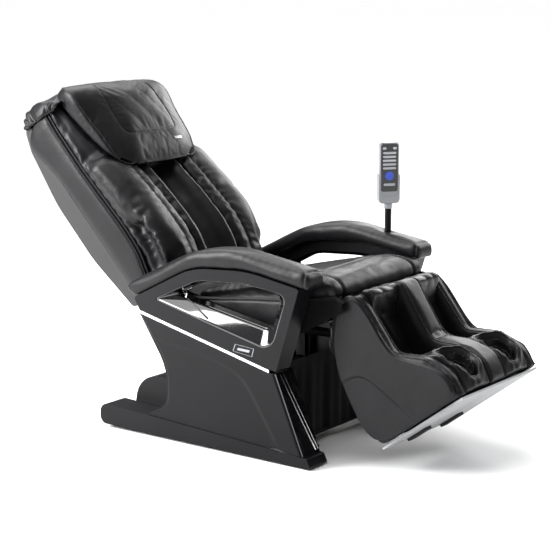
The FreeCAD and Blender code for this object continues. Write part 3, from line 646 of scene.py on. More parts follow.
# Rows of (up, out): the piping down the side, and the front of the padding.
PIPING_OUT = [(-0.055, 0.120), (0.0, 0.112), (0.083, 0.134), (0.150, 0.151), (0.234, 0.155), (0.386, 0.148),
              (0.520, 0.143), (0.651, 0.144), (0.757, 0.150), (0.797, 0.146)]
FRONT_OUT = [(-0.055, 0.172), (-0.046, 0.200), (-0.028, 0.218), (0.0, 0.236), (0.050, 0.254), (0.108, 0.266),
             (0.150, 0.270), (0.240, 0.266), (0.317, 0.259), (0.400, 0.249), (0.440, 0.241), (0.475, 0.230),
             (0.520, 0.219), (0.575, 0.211), (0.650, 0.206), (0.720, 0.201), (0.750, 0.192), (0.775, 0.176),
             (0.797, 0.150)]
SIDE_SHARE = [0.0, 0.14, 0.30, 0.44, 0.72]      # how far the side's points are from the piping to the front
ROUNDED_X = [0.262, 0.271, 0.267, 0.255, 0.243]
FLARED_X = [0.262, 0.275, 0.284, 0.288, 0.282]
POCKET_X = [0.262, 0.266, 0.250, 0.246, 0.272]
FRONT_X = [0.226, 0.200, 0.175, 0.158, 0.132, 0.112, 0.104, 0.096, 0.080, 0.062, 0.044, 0.022, 0.0]
FRONT_DROP = [0.0, -0.002, 0.0, 0.003, 0.005, 0.013, 0.026, 0.016, 0.010, 0.021, 0.050, 0.068, 0.072]
GROOVE_X = 0.104
STRIP_X = 0.158
WING_TOP = [(0.276, 0.522), (0.250, 0.506), (0.205, 0.476), (0.158, 0.446), (0.110, 0.418)]
ARM_GAP = 0.005                           # how far the sides draw in to pass between the armrests
REAR_OUT = 0.149                          # the padding's rear stays ahead of the rollers
HALF_COLUMNS = 84                         # of points, from the piping to the middle
FRONT_COLUMNS = 2 * HALF_COLUMNS - 1
REAR_COLUMNS = 12


def back_section(up):
    """Half of the padding's outline across the back at one height, from the piping to the middle."""
    pipe, front = value_at(PIPING_OUT, up), value_at(FRONT_OUT, up)
    sculpt = float(1 - smoothstep(0.43, 0.50, up)) * float(smoothstep(-0.05, 0.02, up))
    pocket = float(smoothstep(0.02, 0.08, up) * (1 - smoothstep(0.20, 0.30, up)))
    flare = float(smoothstep(0.06, 0.20, up) * (1 - smoothstep(0.45, 0.53, up)))
    side_x = np.array(ROUNDED_X) * (1 - flare) + np.array(FLARED_X) * flare
    side_x = side_x * (1 - pocket) + np.array(POCKET_X) * pocket
    side_x -= ARM_GAP * float(1 - smoothstep(0.10, 0.20, up))
    side_out = pipe + (front - pipe) * np.array(SIDE_SHARE)
    shoulder = np.zeros(len(FRONT_X))
    shoulder[0] = 0.007 + 0.003 * (1 - pocket)
    shoulder[1] = 0.003 * (1 - pocket)
    front_x = np.array(FRONT_X)
    front_x[:2] += np.array([0.032, 0.022]) * flare
    x = np.concatenate([side_x, front_x])
    out = np.concatenate([side_out, front - np.array(FRONT_DROP) * sculpt - shoulder])
    return np.column_stack([np.linspace(0, 1, len(x)), x, out])


def back_ring(up):
    """The whole outline of the padding at one height, as points."""
    half_x, half_out = spline(back_section(up), np.linspace(0, 1, HALF_COLUMNS)).T
    x = np.concatenate([half_x, -half_x[-2::-1]])
    out = np.concatenate([half_out, half_out[-2::-1]])
    rear_x = np.linspace(x[-1], x[0], REAR_COLUMNS + 2)[1:-1]
    rear_out = np.full(REAR_COLUMNS, max(out[0] - 0.003, REAR_OUT))
    return in_back(np.concatenate([x, rear_x]), np.concatenate([out, rear_out]), up)


def sewn_down(mesh, rows):
    """Which points of the padding stay put while it is puffed up: its edges, seams and rear."""
    across = spline(back_section(0.2), np.linspace(0, 1, HALF_COLUMNS))[:, 0]
    lines = [0, 1] + [int(np.argmin(np.abs(across - x))) for x in (GROOVE_X, STRIP_X)]
    lines += [FRONT_COLUMNS - 1 - column for column in lines]
    column = np.tile(np.arange(FRONT_COLUMNS + REAR_COLUMNS), rows)
    held = np.ones(len(mesh.vertices), bool)
    held[:len(column)] = np.isin(column, lines) | (column >= FRONT_COLUMNS)
    return held


def back_padding():
    ups = np.concatenate([np.linspace(-0.055, 0.0, 12), np.linspace(0.006, 0.74, 124),
                          np.linspace(0.746, 0.797, 12)])
    mesh = ring_mesh("back_padding", [back_ring(up) for up in ups])
    crumple_sides(mesh)
    puff(mesh, sewn_down(mesh, len(ups)), 0.006, pressure=2.5, spare=0.012)
    relax(mesh, 1)
    seams = Trimmings()
    rows = np.linspace(0.0, 0.44, 90)
    for side in SIDES:
        for x, drop, depth in ((GROOVE_X, 0.028, 0.005), (STRIP_X, 0.004, 0.0035)):
            line = in_back(side * x, spline(FRONT_OUT, rows) - drop, rows)
            groove(mesh, line, depth, 0.0045)
            seams.stitches(mesh, line, offset=0.006, rows=(side,))
        edge_x, edge_up = flowing([(side * x, up) for x, up in WING_TOP]).T
        line = seam(mesh, in_back(edge_x, spline(FRONT_OUT, edge_up), edge_up), 0.006, 0.006)
        seams.stitches(mesh, line, offset=0.005, rows=(1,))
    add_padded("back_padding", mesh, "black_leather", "back", 0.75, "back_pad", "back_wings")
    rows = np.linspace(0.02, 0.765, 200)
    for side in SIDES:
        for x, ahead, radius in ((0.2665, 0.001, 0.0042), (0.2735, -0.008, 0.0026)):
            seams.add(*tube(in_back(side * x, spline(PIPING_OUT, rows) + ahead, rows), radius))
    seams.done("back_seams", "black_leather", "back")


def crumple_sides(mesh):
    """Puffs beside the piping, deep creases in the side pockets, and soft waves in the leather ahead."""
    points = points_of(mesh)
    x, out, up = to_back(points)
    pipe, front = spline(PIPING_OUT, up), spline(FRONT_OUT, up)
    share = np.clip((out - pipe) / np.maximum(front - pipe, 0.01), 0, 1)
    at_side = smoothstep(0.232, 0.255, np.abs(x))
    waver, slow = ripples(points, 9, 1), ripples(points, 5, 19)
    strength = smoothstep(0.66, 0.34, up) * smoothstep(0.10, 0.20, up) * (0.65 + 0.7 * slow)
    puffs = strength * (0.0045 + 0.0018 * np.sin(2 * math.pi * up / 0.040 + 5 * waver))
    puffs *= np.exp(-((share - 0.16) / 0.10) ** 2)
    crease = np.abs(np.sin(math.pi * up / 0.052 + 3.5 * share + 6 * waver)) ** 0.7
    fine = np.abs(ripples(points * [1, 1.6, 1.6], 34, 20))
    in_pocket = smoothstep(0.02, 0.09, up) * (1 - smoothstep(0.19, 0.28, up))
    in_pocket *= smoothstep(0.18, 0.34, share) * (1 - smoothstep(0.70, 0.90, share))
    folds = in_pocket * (0.012 * (crease - 0.75) * (0.7 + slow) - 0.006 * fine)
    at_edge = (puffs + folds) * at_side * (share > 0.02)
    broad = ripples(points, 11, 2) * 0.0024 + ripples(points, 34, 3) * 0.0006
    near_groove = np.exp(-(np.abs(np.abs(x) - STRIP_X) / 0.030) ** 2) * (up < 0.45) * (np.abs(x) > 0.14)
    gathers = near_groove * 0.0009 * np.sin(2 * math.pi * up / 0.037 + 9 * ripples(points, 12, 4))
    ahead = out > pipe + 0.012
    swell(mesh, at_edge + (broad + gathers) * ahead)


# ---------- head pillow and its flap

PILLOW_MIDDLE = 0.610
# Rows of (up, out) for the pillow's front and rear, then (share of its outline, height from -1 at the rear to
# 1 at the front) for the layers round its edge, then (across, up) for half of the panel's seam.
PILLOW_FRONT = [(0.425, 0.256), (0.440, 0.264), (0.465, 0.273), (0.520, 0.283), (0.600, 0.289),
                (0.680, 0.290), (0.725, 0.284), (0.756, 0.268), (0.782, 0.240), (0.796, 0.220)]
PILLOW_REAR = [(0.425, 0.250), (0.439, 0.249), (0.489, 0.238), (0.538, 0.227), (0.594, 0.218), (0.650, 0.213),
               (0.700, 0.209), (0.750, 0.200), (0.796, 0.196)]
PILLOW_EDGE = [(0.0, -1), (0.35, -1), (0.7, -1), (0.92, -1), (0.98, -1), (1.0, -0.92), (1.004, -0.4),
               (1.004, 0.1), (1.002, 0.45), (0.992, 0.60), (0.974, 0.70), (0.948, 0.79), (0.918, 0.86),
               (0.88, 0.92), (0.84, 0.96)]
PILLOW_SEAM = [(0, 0.519), (0.095, 0.522), (0.137, 0.532), (0.143, 0.600), (0.134, 0.700), (0.122, 0.790)]


def pillow_outline():
    """The pillow seen from the front, as (across, up) round its edge."""
    half = [(0.130, 0.421), (0.192, 0.427), (0.222, 0.480), (0.236, 0.600), (0.247, 0.690), (0.244, 0.752),
            (0.222, 0.788), (0.165, 0.796)]
    corners = half + [(0, 0.798)] + [(-x, up) for x, up in reversed(half)] + [(0, 0.417)]
    return flowing(corners, 0.006, closed=True)


def pillow_trims(mesh, seam_line, outline):
    """Stitches along the sewn panel, piping round both edges, and a blank tag."""
    trims = Trimmings()
    trims.stitches(mesh, seam_line, offset=0.004, rows=(-1,))
    x, up = outline.T
    rear, front = spline(PILLOW_REAR, up), spline(PILLOW_FRONT, up)
    for height in (0.50, -0.92):
        rim = in_back(x, (rear + front) / 2 + (front - rear) / 2 * height, up)
        trims.piping(mesh, rim, 0.0021, closed=True)
    trims.done("pillow_seams", "black_leather", "pillow")
    tag = box_mesh("pillow_tag", 0.046, 0.0016, 0.010)
    spots, normals = on_surface(mesh, in_back([0.108], 0.285, 0.484))
    face, level = Vector(normals[0]).normalized(), Vector((1, 0, 0))
    along = (level - face * face.dot(level)).normalized()
    place_flat(tag, Vector(spots[0] + normals[0] * 0.0004), along, face)
    add_object("pillow_tag", tag, "silver_plastic", "pillow")


def head_pillow():
    outline = pillow_outline()
    middle = np.array([0.0, PILLOW_MIDDLE])
    layers = PILLOW_EDGE + [(share, 1) for share in np.linspace(0.81, 0.02, 28)]
    rings = []
    for share, height in layers:
        x, up = (middle + (outline - middle) * share).T
        rear = spline(PILLOW_REAR, up)
        rounding = 0.026 * smoothstep(0.10, 0.222, np.abs(x))
        front = spline(PILLOW_FRONT, up) - rounding * smoothstep(0.79, 0.60, up)
        level = (rear + front) / 2 + (front - rear) / 2 * height
        dome = 0.009 * (1 - min(share, 1) ** 2) if height > 0 else 0
        rings.append(in_back(x, level + dome, up))
    mesh = ring_mesh("head_pillow_soft", rings)
    mesh = remeshed("head_pillow_soft", mesh, 3)
    points = points_of(mesh)
    _, out, up = to_back(points)
    corners = [(-x, level) for x, level in reversed(PILLOW_SEAM)] + PILLOW_SEAM[1:]
    panel_x, panel_up = flowing(corners, 0.004).T
    line, _ = on_surface(mesh, in_back(panel_x, spline(PILLOW_FRONT, panel_up) + 0.008, panel_up))
    held = distance_to(points, line) < 0.0045
    held |= out < spline(PILLOW_REAR, up) + 0.006
    puff(mesh, held, 0.006, pressure=3.0, spare=0.006)
    relax(mesh, 2)
    groove(mesh, line, 0.0030, 0.0034)
    points = points_of(mesh)
    x, out, up = to_back(points)
    in_panel = smoothstep(0.14, 0.12, np.abs(x)) * smoothstep(0.52, 0.56, up) * smoothstep(0.235, 0.255, out)
    pleats = in_panel * (np.abs(np.sin(math.pi * (x + 0.5 * (up - 0.52)) / 0.085 + 1.1)) ** 0.8 - 0.6)
    slack = ripples(points, 9, 5) * 0.0022 + ripples(points, 26, 6) * 0.0005
    swell(mesh, (pleats * 0.0014 + slack) * (out > 0.225))
    add_padded("head_pillow_soft", mesh, "black_leather", "pillow", 0.8, "head_pillow")
    pillow_trims(mesh, line, outline)


def box_mesh(name, width, depth, height):
    bm = bmesh.new()
    bmesh.ops.create_cube(bm, size=1)
    bmesh.ops.scale(bm, vec=(width, depth, height), verts=bm.verts)
    bmesh.ops.bevel(bm, geom=bm.edges[:], offset=0.0006, segments=2, affect="EDGES", profile=0.5)
    mesh = bpy.data.meshes.new(name)
    bm.to_mesh(mesh)
    bm.free()
    return mesh


def place_flat(mesh, spot, along, face):
    """Moves a small plate, drawn facing -Y, on to a spot, lying along one direction and facing another."""
    turn = Matrix((along, -face, face.cross(along))).transposed().to_4x4()
    mesh.transform(Matrix.Translation(spot) @ turn)


# Rows of (out, up) over the top of the back: at its middle, at its sides, and at the gathered ends' tips.
FLAP_MIDDLE = [(0.194, 0.792), (0.184, 0.800), (0.165, 0.808), (0.130, 0.819), (0.090, 0.824), (0.058, 0.816),
               (0.038, 0.796), (0.030, 0.770)]
FLAP_END = [(0.218, 0.736), (0.200, 0.754), (0.172, 0.776), (0.140, 0.796), (0.100, 0.808), (0.066, 0.806),
            (0.042, 0.792), (0.028, 0.770)]
FLAP_EAR = [(0.190, 0.726), (0.176, 0.738), (0.156, 0.744), (0.132, 0.742), (0.104, 0.748), (0.080, 0.752),
            (0.058, 0.758), (0.042, 0.760)]
EAR_FOLDS = 5
FLAP_END_X = 0.262                        # where the flap turns down the side of the back
FLAP_EAR_DEPTH = 0.018


def flap():
    """The leather flap that holds the pillow, over the top of the back, its gathered ends down the sides."""
    count = 46
    middle, end, ear = (flowing(line, 0.001) for line in (FLAP_MIDDLE, FLAP_END, FLAP_EAR))
    middle, end, ear = (line[np.linspace(0, len(line) - 1, count).astype(int)] for line in (middle, end, ear))
    along = np.linspace(0, 1, count)
    stations = [(x, 0.0) for x in np.linspace(0, FLAP_END_X, 50)]
    stations += [(FLAP_END_X + 0.020 * turn, turn) for turn in np.linspace(0.1, 1, 12)]
    stations = [(-x, turn) for x, turn in reversed(stations)] + stations[1:]
    rings = []
    for x, turn in stations:
        spread = float(smoothstep(0.17, FLAP_END_X, abs(x)))
        outer = middle * (1 - spread) + end * spread
        across = np.full(count, abs(x))
        if turn:
            arc = math.sin(turn * math.pi / 2)
            outer = end + (ear - end) * turn ** 1.5
            across = np.full(count, FLAP_END_X + FLAP_EAR_DEPTH * arc)
        gather = 0.0035 * spread ** 2 * np.sin(2 * math.pi * EAR_FOLDS * along + 3.6 * np.sin(7 * along))
        outer = outer + np.array([0, 1]) * (gather * (1 - turn))[:, None]
        across = across + gather * 1.6 * turn
        inner = outer - np.array([0, 0.0045])
        loop = np.vstack([outer, inner[::-1]])
        both = np.concatenate([across, across[::-1] - 0.004 * turn]) * (1 if x >= 0 else -1)
        rings.append(in_back(both, loop[:, 0], loop[:, 1]))
    mesh = ring_mesh("pillow_flap_soft", rings)
    swell(mesh, ripples(points_of(mesh) * [1.6, 1, 1], 24, 7) * 0.0018)
    obj = add_object("pillow_flap_soft", mesh, "black_leather", "back")
    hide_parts("pillow_flap")


# ---------- backrest side gussets

GUSSET_FACE, GUSSET_ROOT = 0.2712, 0.2665
GUSSET_REAR = [(0.022, 0.036), (0.300, 0.036), (0.480, 0.036), (0.540, 0.034), (0.612, 0.022), (0.651, 0.013),
               (0.690, 0.008), (0.722, 0.022), (0.742, 0.050), (0.757, 0.090)]


def back_gussets():
    """The leather side panels of the back, crowned between the piping and the seam of the rear shell."""
    for side, word in NAMED_SIDES:
        ups = np.concatenate([np.linspace(0.022, 0.70, 90), np.linspace(0.706, 0.757, 14)])
        across = np.linspace(0, 1, 34)
        rings = []
        for up in ups:
            rear, front = value_at(GUSSET_REAR, up), value_at(PIPING_OUT, up)
            out = rear + (front - 0.002 - rear) * across
            ends = float(smoothstep(0.015, 0.07, up) * smoothstep(0.76, 0.70, up))
            crown = 0.0085 * (1 - np.abs(2 * across - 1) ** 3.5) * (0.35 + 0.65 * ends)
            outer = GUSSET_FACE + crown - 0.004 * smoothstep(0.85, 1.0, across)
            skin = np.concatenate([outer, np.full(len(across), GUSSET_ROOT)])
            rings.append(in_back(side * skin, np.concatenate([out, out[::-1]]), up))
        mesh = ring_mesh("gusset", rings)
        points = points_of(mesh)
        soft = ripples(points, 6, 8) * 0.0016 * smoothstep(0.272, 0.276, np.abs(points[:, 0]))
        points[:, 0] += side * soft
        set_points(mesh, points)
        add_padded(f"{word}_back_gusset", mesh, "black_leather", "back", 0.9, "back_sides")


# ---------- seat

SEAT_SEAM = [(0.205, -0.360, 0.500), (0.207, -0.440, 0.522), (0.208, -0.462, 0.552), (0.208, -0.440, 0.585),
             (0.207, -0.370, 0.592), (0.205, -0.300, 0.578), (0.203, -0.180, 0.548), (0.200, -0.020, 0.515),
             (0.198, 0.090, 0.492)]
SEAT_FOLD = [(-0.250, -0.300, 0.578), (-0.1, -0.297, 0.582), (0.1, -0.297, 0.582), (0.250, -0.300, 0.578)]


def seat():
    mesh = remeshed("seat_soft", cad_copy("seat_cushion"), 6, voxel=0.006)
    points = points_of(mesh)
    held = (points[:, 2] < 0.448) & (points[:, 1] > -0.31)
    held |= points[:, 1] > 0.102
    puff(mesh, held, 0.012, spare=0.004)
    relax(mesh, 8)
    trims = Trimmings()
    for side in SIDES:
        line = seam(mesh, flowing([(side * x, y, z) for x, y, z in SEAT_SEAM]), 0.006, 0.006)
        trims.stitches(mesh, line, offset=0.004, rows=(-side,))
    seam(mesh, flowing(SEAT_FOLD), 0.006, 0.010)
    points = points_of(mesh)
    broad = ripples(points, 9, 9) * 0.003 + ripples(points * [1, 2, 1], 24, 10) * 0.0011
    swell(mesh, broad * (points[:, 2] > 0.455))
    add_padded("seat_soft", mesh, "black_leather", "root", 0.8, "seat_cushion")
    trims.done("seat_seams", "black_leather", "root")


# ---------- armrest pads

ARM_END_SEAM = [(0.290, -0.392, 0.566), (0.275, -0.398, 0.592), (0.285, -0.399, 0.622),
                (0.324, -0.400, 0.634), (0.363, -0.399, 0.622), (0.373, -0.398, 0.592),
                (0.360, -0.392, 0.566)]


def arm_pads():
    for side, word in NAMED_SIDES:
        mesh = remeshed("arm", cad_copy("arm_pads", side), 10)
        held = (normals_of(mesh)[:, 2] < -0.4) | (points_of(mesh)[:, 1] > 0.325)
        puff(mesh, held, 0.006)
        relax(mesh, 12)
        trims = Trimmings()
        line = seam(mesh, flowing([(side * x, y, z) for x, y, z in ARM_END_SEAM]), 0.004, 0.004)
        trims.stitches(mesh, line, offset=0.0035)
        swell(mesh, ripples(points_of(mesh), 12, 11) * 0.0012)
        add_padded(f"{word}_arm_soft", mesh, "black_leather", "root", 0.95, "arm_pads")
        trims.done(f"{word}_arm_seams", "black_leather", "root")


# ---------- legrest

# Rows of (y, z) along the top edges, from under the seat to the toes.
WALL_TOP = [(-0.404, 0.440), (-0.404, 0.500), (-0.425, 0.548), (-0.470, 0.556), (-0.505, 0.545),
            (-0.560, 0.476), (-0.612, 0.412), (-0.650, 0.384), (-0.700, 0.379), (-0.752, 0.380),
            (-0.800, 0.366), (-0.842, 0.342), (-0.866, 0.312), (-0.878, 0.282)]
DIVIDER_TOP = [(-0.500, 0.556), (-0.522, 0.562), (-0.548, 0.562), (-0.572, 0.528), (-0.615, 0.462),
               (-0.650, 0.412), (-0.680, 0.395), (-0.740, 0.390), (-0.785, 0.383), (-0.830, 0.364),
               (-0.858, 0.335), (-0.880, 0.284)]


WIDE, FINE = 0.0026, 0.0013               # radii of piping
TRAY_POINT = np.array([0, -0.603, 0.071])
TRAY_NORMAL = np.array([0, 0.594, 0.804])


def pipe_edges(trims, mesh, profile, side, lines):
    """Piping along a legrest profile, each line pressed in at its own distance across."""
    for x, radius in lines:
        line = seam(mesh, flowing([(side * x, y, z) for y, z in profile]), 0.0022, 0.003)
        trims.piping(mesh, line, radius)


def legrest():
    trims = Trimmings()
    for side, word in NAMED_SIDES:
        mesh = remeshed("wall", cad_copy("leg_walls", side), 6)
        above_tray = (points_of(mesh) - TRAY_POINT) @ TRAY_NORMAL
        puff(mesh, np.abs(above_tray) < 0.006, 0.007)
        relax(mesh, 2)
        pipe_edges(trims, mesh, WALL_TOP, side, ((0.198, WIDE), (0.205, FINE), (0.240, WIDE), (0.233, FINE)))
        points = points_of(mesh)
        swell(mesh, ripples(points, 9, 12 + side) * 0.0022 + ripples(points, 30, 14) * 0.0005)
        add_padded(f"{word}_leg_wall_soft", mesh, "black_leather", "legrest", 0.85, "leg_walls")
    mesh = remeshed("divider", cad_copy("leg_divider"), 6)
    puff(mesh, points_of(mesh)[:, 2] < 0.25, 0.006)
    relax(mesh, 2)
    for side in SIDES:
        pipe_edges(trims, mesh, DIVIDER_TOP, side, ((0.0465, WIDE), (0.0395, FINE)))
    swell(mesh, ripples(points_of(mesh), 14, 15) * 0.0012)
    add_padded("leg_divider_soft", mesh, "black_leather", "legrest", 0.85, "leg_divider")
    trims.done("leg_seams", "black_leather", "legrest")


LEG_FACE, LEG_ROOT = 0.2500, 0.2435
# (y, z) round the outer leather of the legrest, and along the seam where its two panels meet.
LEG_SIDE = [(-0.472, 0.540), (-0.440, 0.512), (-0.424, 0.440), (-0.424, 0.377), (-0.434, 0.324),
            (-0.457, 0.263), (-0.499, 0.185), (-0.537, 0.127), (-0.572, 0.098), (-0.603, 0.094),
            (-0.640, 0.112), (-0.676, 0.138), (-0.782, 0.216), (-0.868, 0.280), (-0.862, 0.304),
            (-0.842, 0.332), (-0.812, 0.350), (-0.765, 0.362), (-0.700, 0.366), (-0.658, 0.372),
            (-0.626, 0.394), (-0.592, 0.436), (-0.556, 0.486), (-0.520, 0.526), (-0.496, 0.540)]
LEG_SEAM = [(-0.440, 0.250), (-0.491, 0.277), (-0.520, 0.291), (-0.554, 0.289), (-0.602, 0.266),
            (-0.657, 0.233), (-0.704, 0.203), (-0.745, 0.180)]


def leg_skins():
    """The leather down the outside of the legrest: its upper panel is drawn over a flatter lower one."""
    outline = flowing(LEG_SIDE, 0.005, closed=True)
    middle = np.array([-0.62, 0.27])
    fold = flowing(LEG_SEAM, 0.004)
    for side, word in NAMED_SIDES:
        rings = []
        for share in np.concatenate([[1.0, 1.0, 0.992, 0.98], np.linspace(0.965, 0.02, 56)]):
            flat = middle + (outline - middle) * share
            away = distance_to(flat, fold)
            fold_z = np.interp(flat[:, 0], fold[::-1, 0], fold[::-1, 1])
            above = smoothstep(-0.002, 0.002, flat[:, 1] - fold_z)
            fade = smoothstep(-0.745, -0.690, flat[:, 0])
            step = 0.0045 * np.exp(-away / 0.030) * above * fade - 0.0020 * np.exp(-(away / 0.0045) ** 2)
            edge = 0.0065 * math.sqrt(1 - min((1 - share) / 0.035, 1) ** 2) if share > 0.965 else 0
            proud = LEG_FACE + (step + 0.0045) * (share < 0.999) - edge + 0.0025 * (1 - share ** 2)
            rings.append(np.column_stack([side * np.maximum(proud, LEG_ROOT), flat]))
        mesh = ring_mesh("leg_skin", rings)
        swell(mesh, ripples(points_of(mesh), 8, 21 + side) * 0.0016)
        add_object(f"{word}_leg_skin", mesh, "black_leather", "legrest")


def calf_channels():
    """Slack leather over the airbags behind the calves, gathered into folds."""
    for side, word in NAMED_SIDES:
        mesh = remeshed("calf", cad_copy("calf_floors", side), 5)
        points = points_of(mesh)
        fold = np.abs(np.sin(math.pi * (points[:, 0] * 1.2 + 0.9 * points[:, 2]) / 0.075
                             + 3.0 * ripples(points, 9, 16))) ** 0.7
        ahead = smoothstep(-0.45, -0.48, points[:, 1])
        swell(mesh, (fold - 0.7) * 0.004 * ahead)
        relax(mesh, 1)
        add_padded(f"{word}_calf_soft", mesh, "liner_leather", "legrest", 0.5, "calf_floors")


WELL_MIDDLE = np.array([0.122, -0.797])
WELL_RADIUS = 0.052
WELL_FLARE = 0.017                        # how far the rim of a well reaches beyond its bore
WELL_FLOOR = 0.282


def ring_on_top(mesh, middle, radius, angles):
    """A circle about an upright axis, dropped on to the mesh from above."""
    tree = BVHTree.FromPolygons([v.co for v in mesh.vertices], [tuple(p.vertices) for p in mesh.polygons])
    made = []
    for angle in angles:
        x, y = middle + radius * np.array([math.cos(angle), math.sin(angle)])
        hit = tree.ray_cast(Vector((x, y, 0.6)), Vector((0, 0, -1)))[0]
        made.append(tuple(hit) if hit else (x, y, made[-1][2] if made else 0.38))
    return np.array(made)


def foot_rests():
    """Padding round the feet, its rim puffed up and gathered about each well, with a slack bag inside."""
    trims = Trimmings()
    angles = np.linspace(0, 2 * math.pi, 96, endpoint=False)
    for side, word in NAMED_SIDES:
        mesh = remeshed("foot", cad_copy("foot_blocks", side), 4)
        middle = WELL_MIDDLE * [side, 1]
        points = points_of(mesh)
        away = np.linalg.norm(points[:, :2] - middle, axis=1)
        turn = np.arctan2(points[:, 1] - middle[1], points[:, 0] - middle[0])
        pucker = 1 + 0.22 * np.sin(turn * 13 + 2 * np.sin(turn * 3))
        upward = normals_of(mesh)[:, 2] > 0.2
        raised = 0.006 * np.exp(-((away - WELL_RADIUS - 0.022) / 0.010) ** 2) * upward
        points += normals_of(mesh) * (raised * pucker)[:, None]
        funnel = 0.045 * smoothstep(WELL_RADIUS + WELL_FLARE, WELL_RADIUS, away)
        points[:, 2] -= funnel * upward * (points[:, 2] > 0.32)
        points += normals_of(mesh) * (ripples(points, 16, 17) * 0.0015)[:, None]
        set_points(mesh, points)
        relax(mesh, 2)
        bore = ring_on_top(mesh, middle, WELL_RADIUS + 0.002, angles)
        rim = ring_on_top(mesh, middle, WELL_RADIUS + WELL_FLARE, angles)
        add_padded(f"{word}_foot_soft", mesh, "black_leather", "legrest", 0.8, "foot_blocks")
        trims.add(*tube(rim + [0, 0, 0.001], 0.0026 + 0.0005 * np.sin(angles * 13), closed=True))
        liner(word, middle, bore, angles)
    trims.done("foot_rims", "black_leather", "legrest")


def liner(word, middle, rim, angles):
    """The slack bag inside a foot well, in folds that deepen towards its floor."""
    rings = []
    round_well = np.column_stack([np.cos(angles), np.sin(angles)])
    for share in np.linspace(0, 1, 26):
        depth = (rim[:, 2] + 0.002) * (1 - share) + (WELL_FLOOR + 0.002) * share
        folds = np.abs(np.sin(angles * 5.5 + 3 * share)) - 0.6
        folds = 0.0055 * math.sin(math.pi * min(share * 1.3, 1)) * folds
        radius = WELL_RADIUS - 0.0015 - 0.004 * share + folds
        rings.append(np.column_stack([middle + round_well * radius[:, None], depth]))
    floor = rings[-1]
    for share in (0.8, 0.5, 0.2, 0.02):
        inner = floor.copy()
        inner[:, :2] = middle + (floor[:, :2] - middle) * share
        inner[:, 2] = WELL_FLOOR + 0.002 * np.cos(angles * 3)
        rings.append(inner)
    mesh = ring_mesh(f"{word}_foot_bag", rings, capped=False)
    bag = add_padded(f"{word}_foot_bag", mesh, "liner_leather", "legrest", 0.3, "foot_liners")
    thicken(bag, 0.0015)


# ---------- cloth under and behind the seat

def hanging_sheet(name, lines, slot, wrinkle):
    """A sheet through a few lines across the chair, each a row of points."""
    rows = np.array(lines, float)
    fine = []
    knots = np.linspace(0, 1, len(rows))
    for column in range(rows.shape[1]):
        fine.append(spline(np.column_stack([knots, rows[:, column]]), np.linspace(0, 1, 44)))
    grid = np.array(fine).transpose(1, 0, 2)
    mesh = new_mesh(name, grid.reshape(-1, 3).tolist(), grid_faces(*grid.shape[:2], False))
    swell(mesh, ripples(points_of(mesh) * [2.2, 1, 1], 11, 18) * wrinkle)
    obj = add_object(name, mesh, slot, None)
    spans = np.linalg.norm(np.diff(grid, axis=0), axis=2).sum(0).mean()
    width = np.linalg.norm(np.diff(grid, axis=1), axis=2).sum(1).mean()
    return obj, (float(width), float(spans))


SKIRT_HALF, SKIRT_Y = 0.281, -0.2855
SKIRT_FALL = ((0.311, 0.0), (0.240, 0.6), (0.150, 0.9), (0.046, 1.0))    # height, share of the folds


def apron():
    across = np.linspace(-SKIRT_HALF, SKIRT_HALF, 90)
    folds = 0.004 * np.sin(across * 46) + 0.002 * np.sin(across * 121)
    rows = []
    for z, ease in SKIRT_FALL:
        rows.append(np.stack([across, SKIRT_Y + folds * ease, np.full(len(across), z)], 1))
    obj, flat = hanging_sheet("skirt", rows, "skirt_fabric", 0.0008)
    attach(obj, "root")
    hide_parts("front_apron")


COVER_TO_BACK = [(0.060, 0.462), (0.110, 0.468), (0.160, 0.478), (0.205, 0.510), (0.232, 0.548)]
COVER_TO_LEGREST = [(-0.300, 0.450), (-0.335, 0.446), (-0.372, 0.452), (-0.400, 0.446), (-0.408, 0.425)]


def bridges():
    """Slack leather from the seat to the back and to the legrest."""
    across = np.linspace(-0.238, 0.238, 60)

    def row(y, z):
        return np.stack([across, np.full(len(across), y), np.full(len(across), z)], 1)

    rear = [row(y, z) for y, z in COVER_TO_BACK]
    obj, flat = hanging_sheet("seat_to_back_cover", rear, "black_leather", 0.0015)
    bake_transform(obj)
    front = [row(y, z) for y, z in COVER_TO_LEGREST]
    obj, flat = hanging_sheet("seat_to_legrest_cover", front, "liner_leather", 0.004)
    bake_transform(obj)


# ---------- arm openings, panels and their trims

# Corners as (y, z, radius): the opening in the arm's outer face, and the lip where the ledge inside it ends.
ARM_OPENING = [(0.200, 0.468, 0.005), (0.020, 0.552, 0.160), (-0.170, 0.563, 0.350), (-0.338, 0.545, 0.028),
               (-0.277, 0.355, 0.055)]
SCOOP_LIP = [(0.130, 0.488, 0.005), (0.020, 0.546, 0.160), (-0.170, 0.557, 0.350), (-0.304, 0.538, 0.030),
             (-0.256, 0.419, 0.034)]
OPENING_OUTER, OPENING_LIP, OPENING_INNER = 0.3735, 0.345, 0.3005    # distances across of its three edges


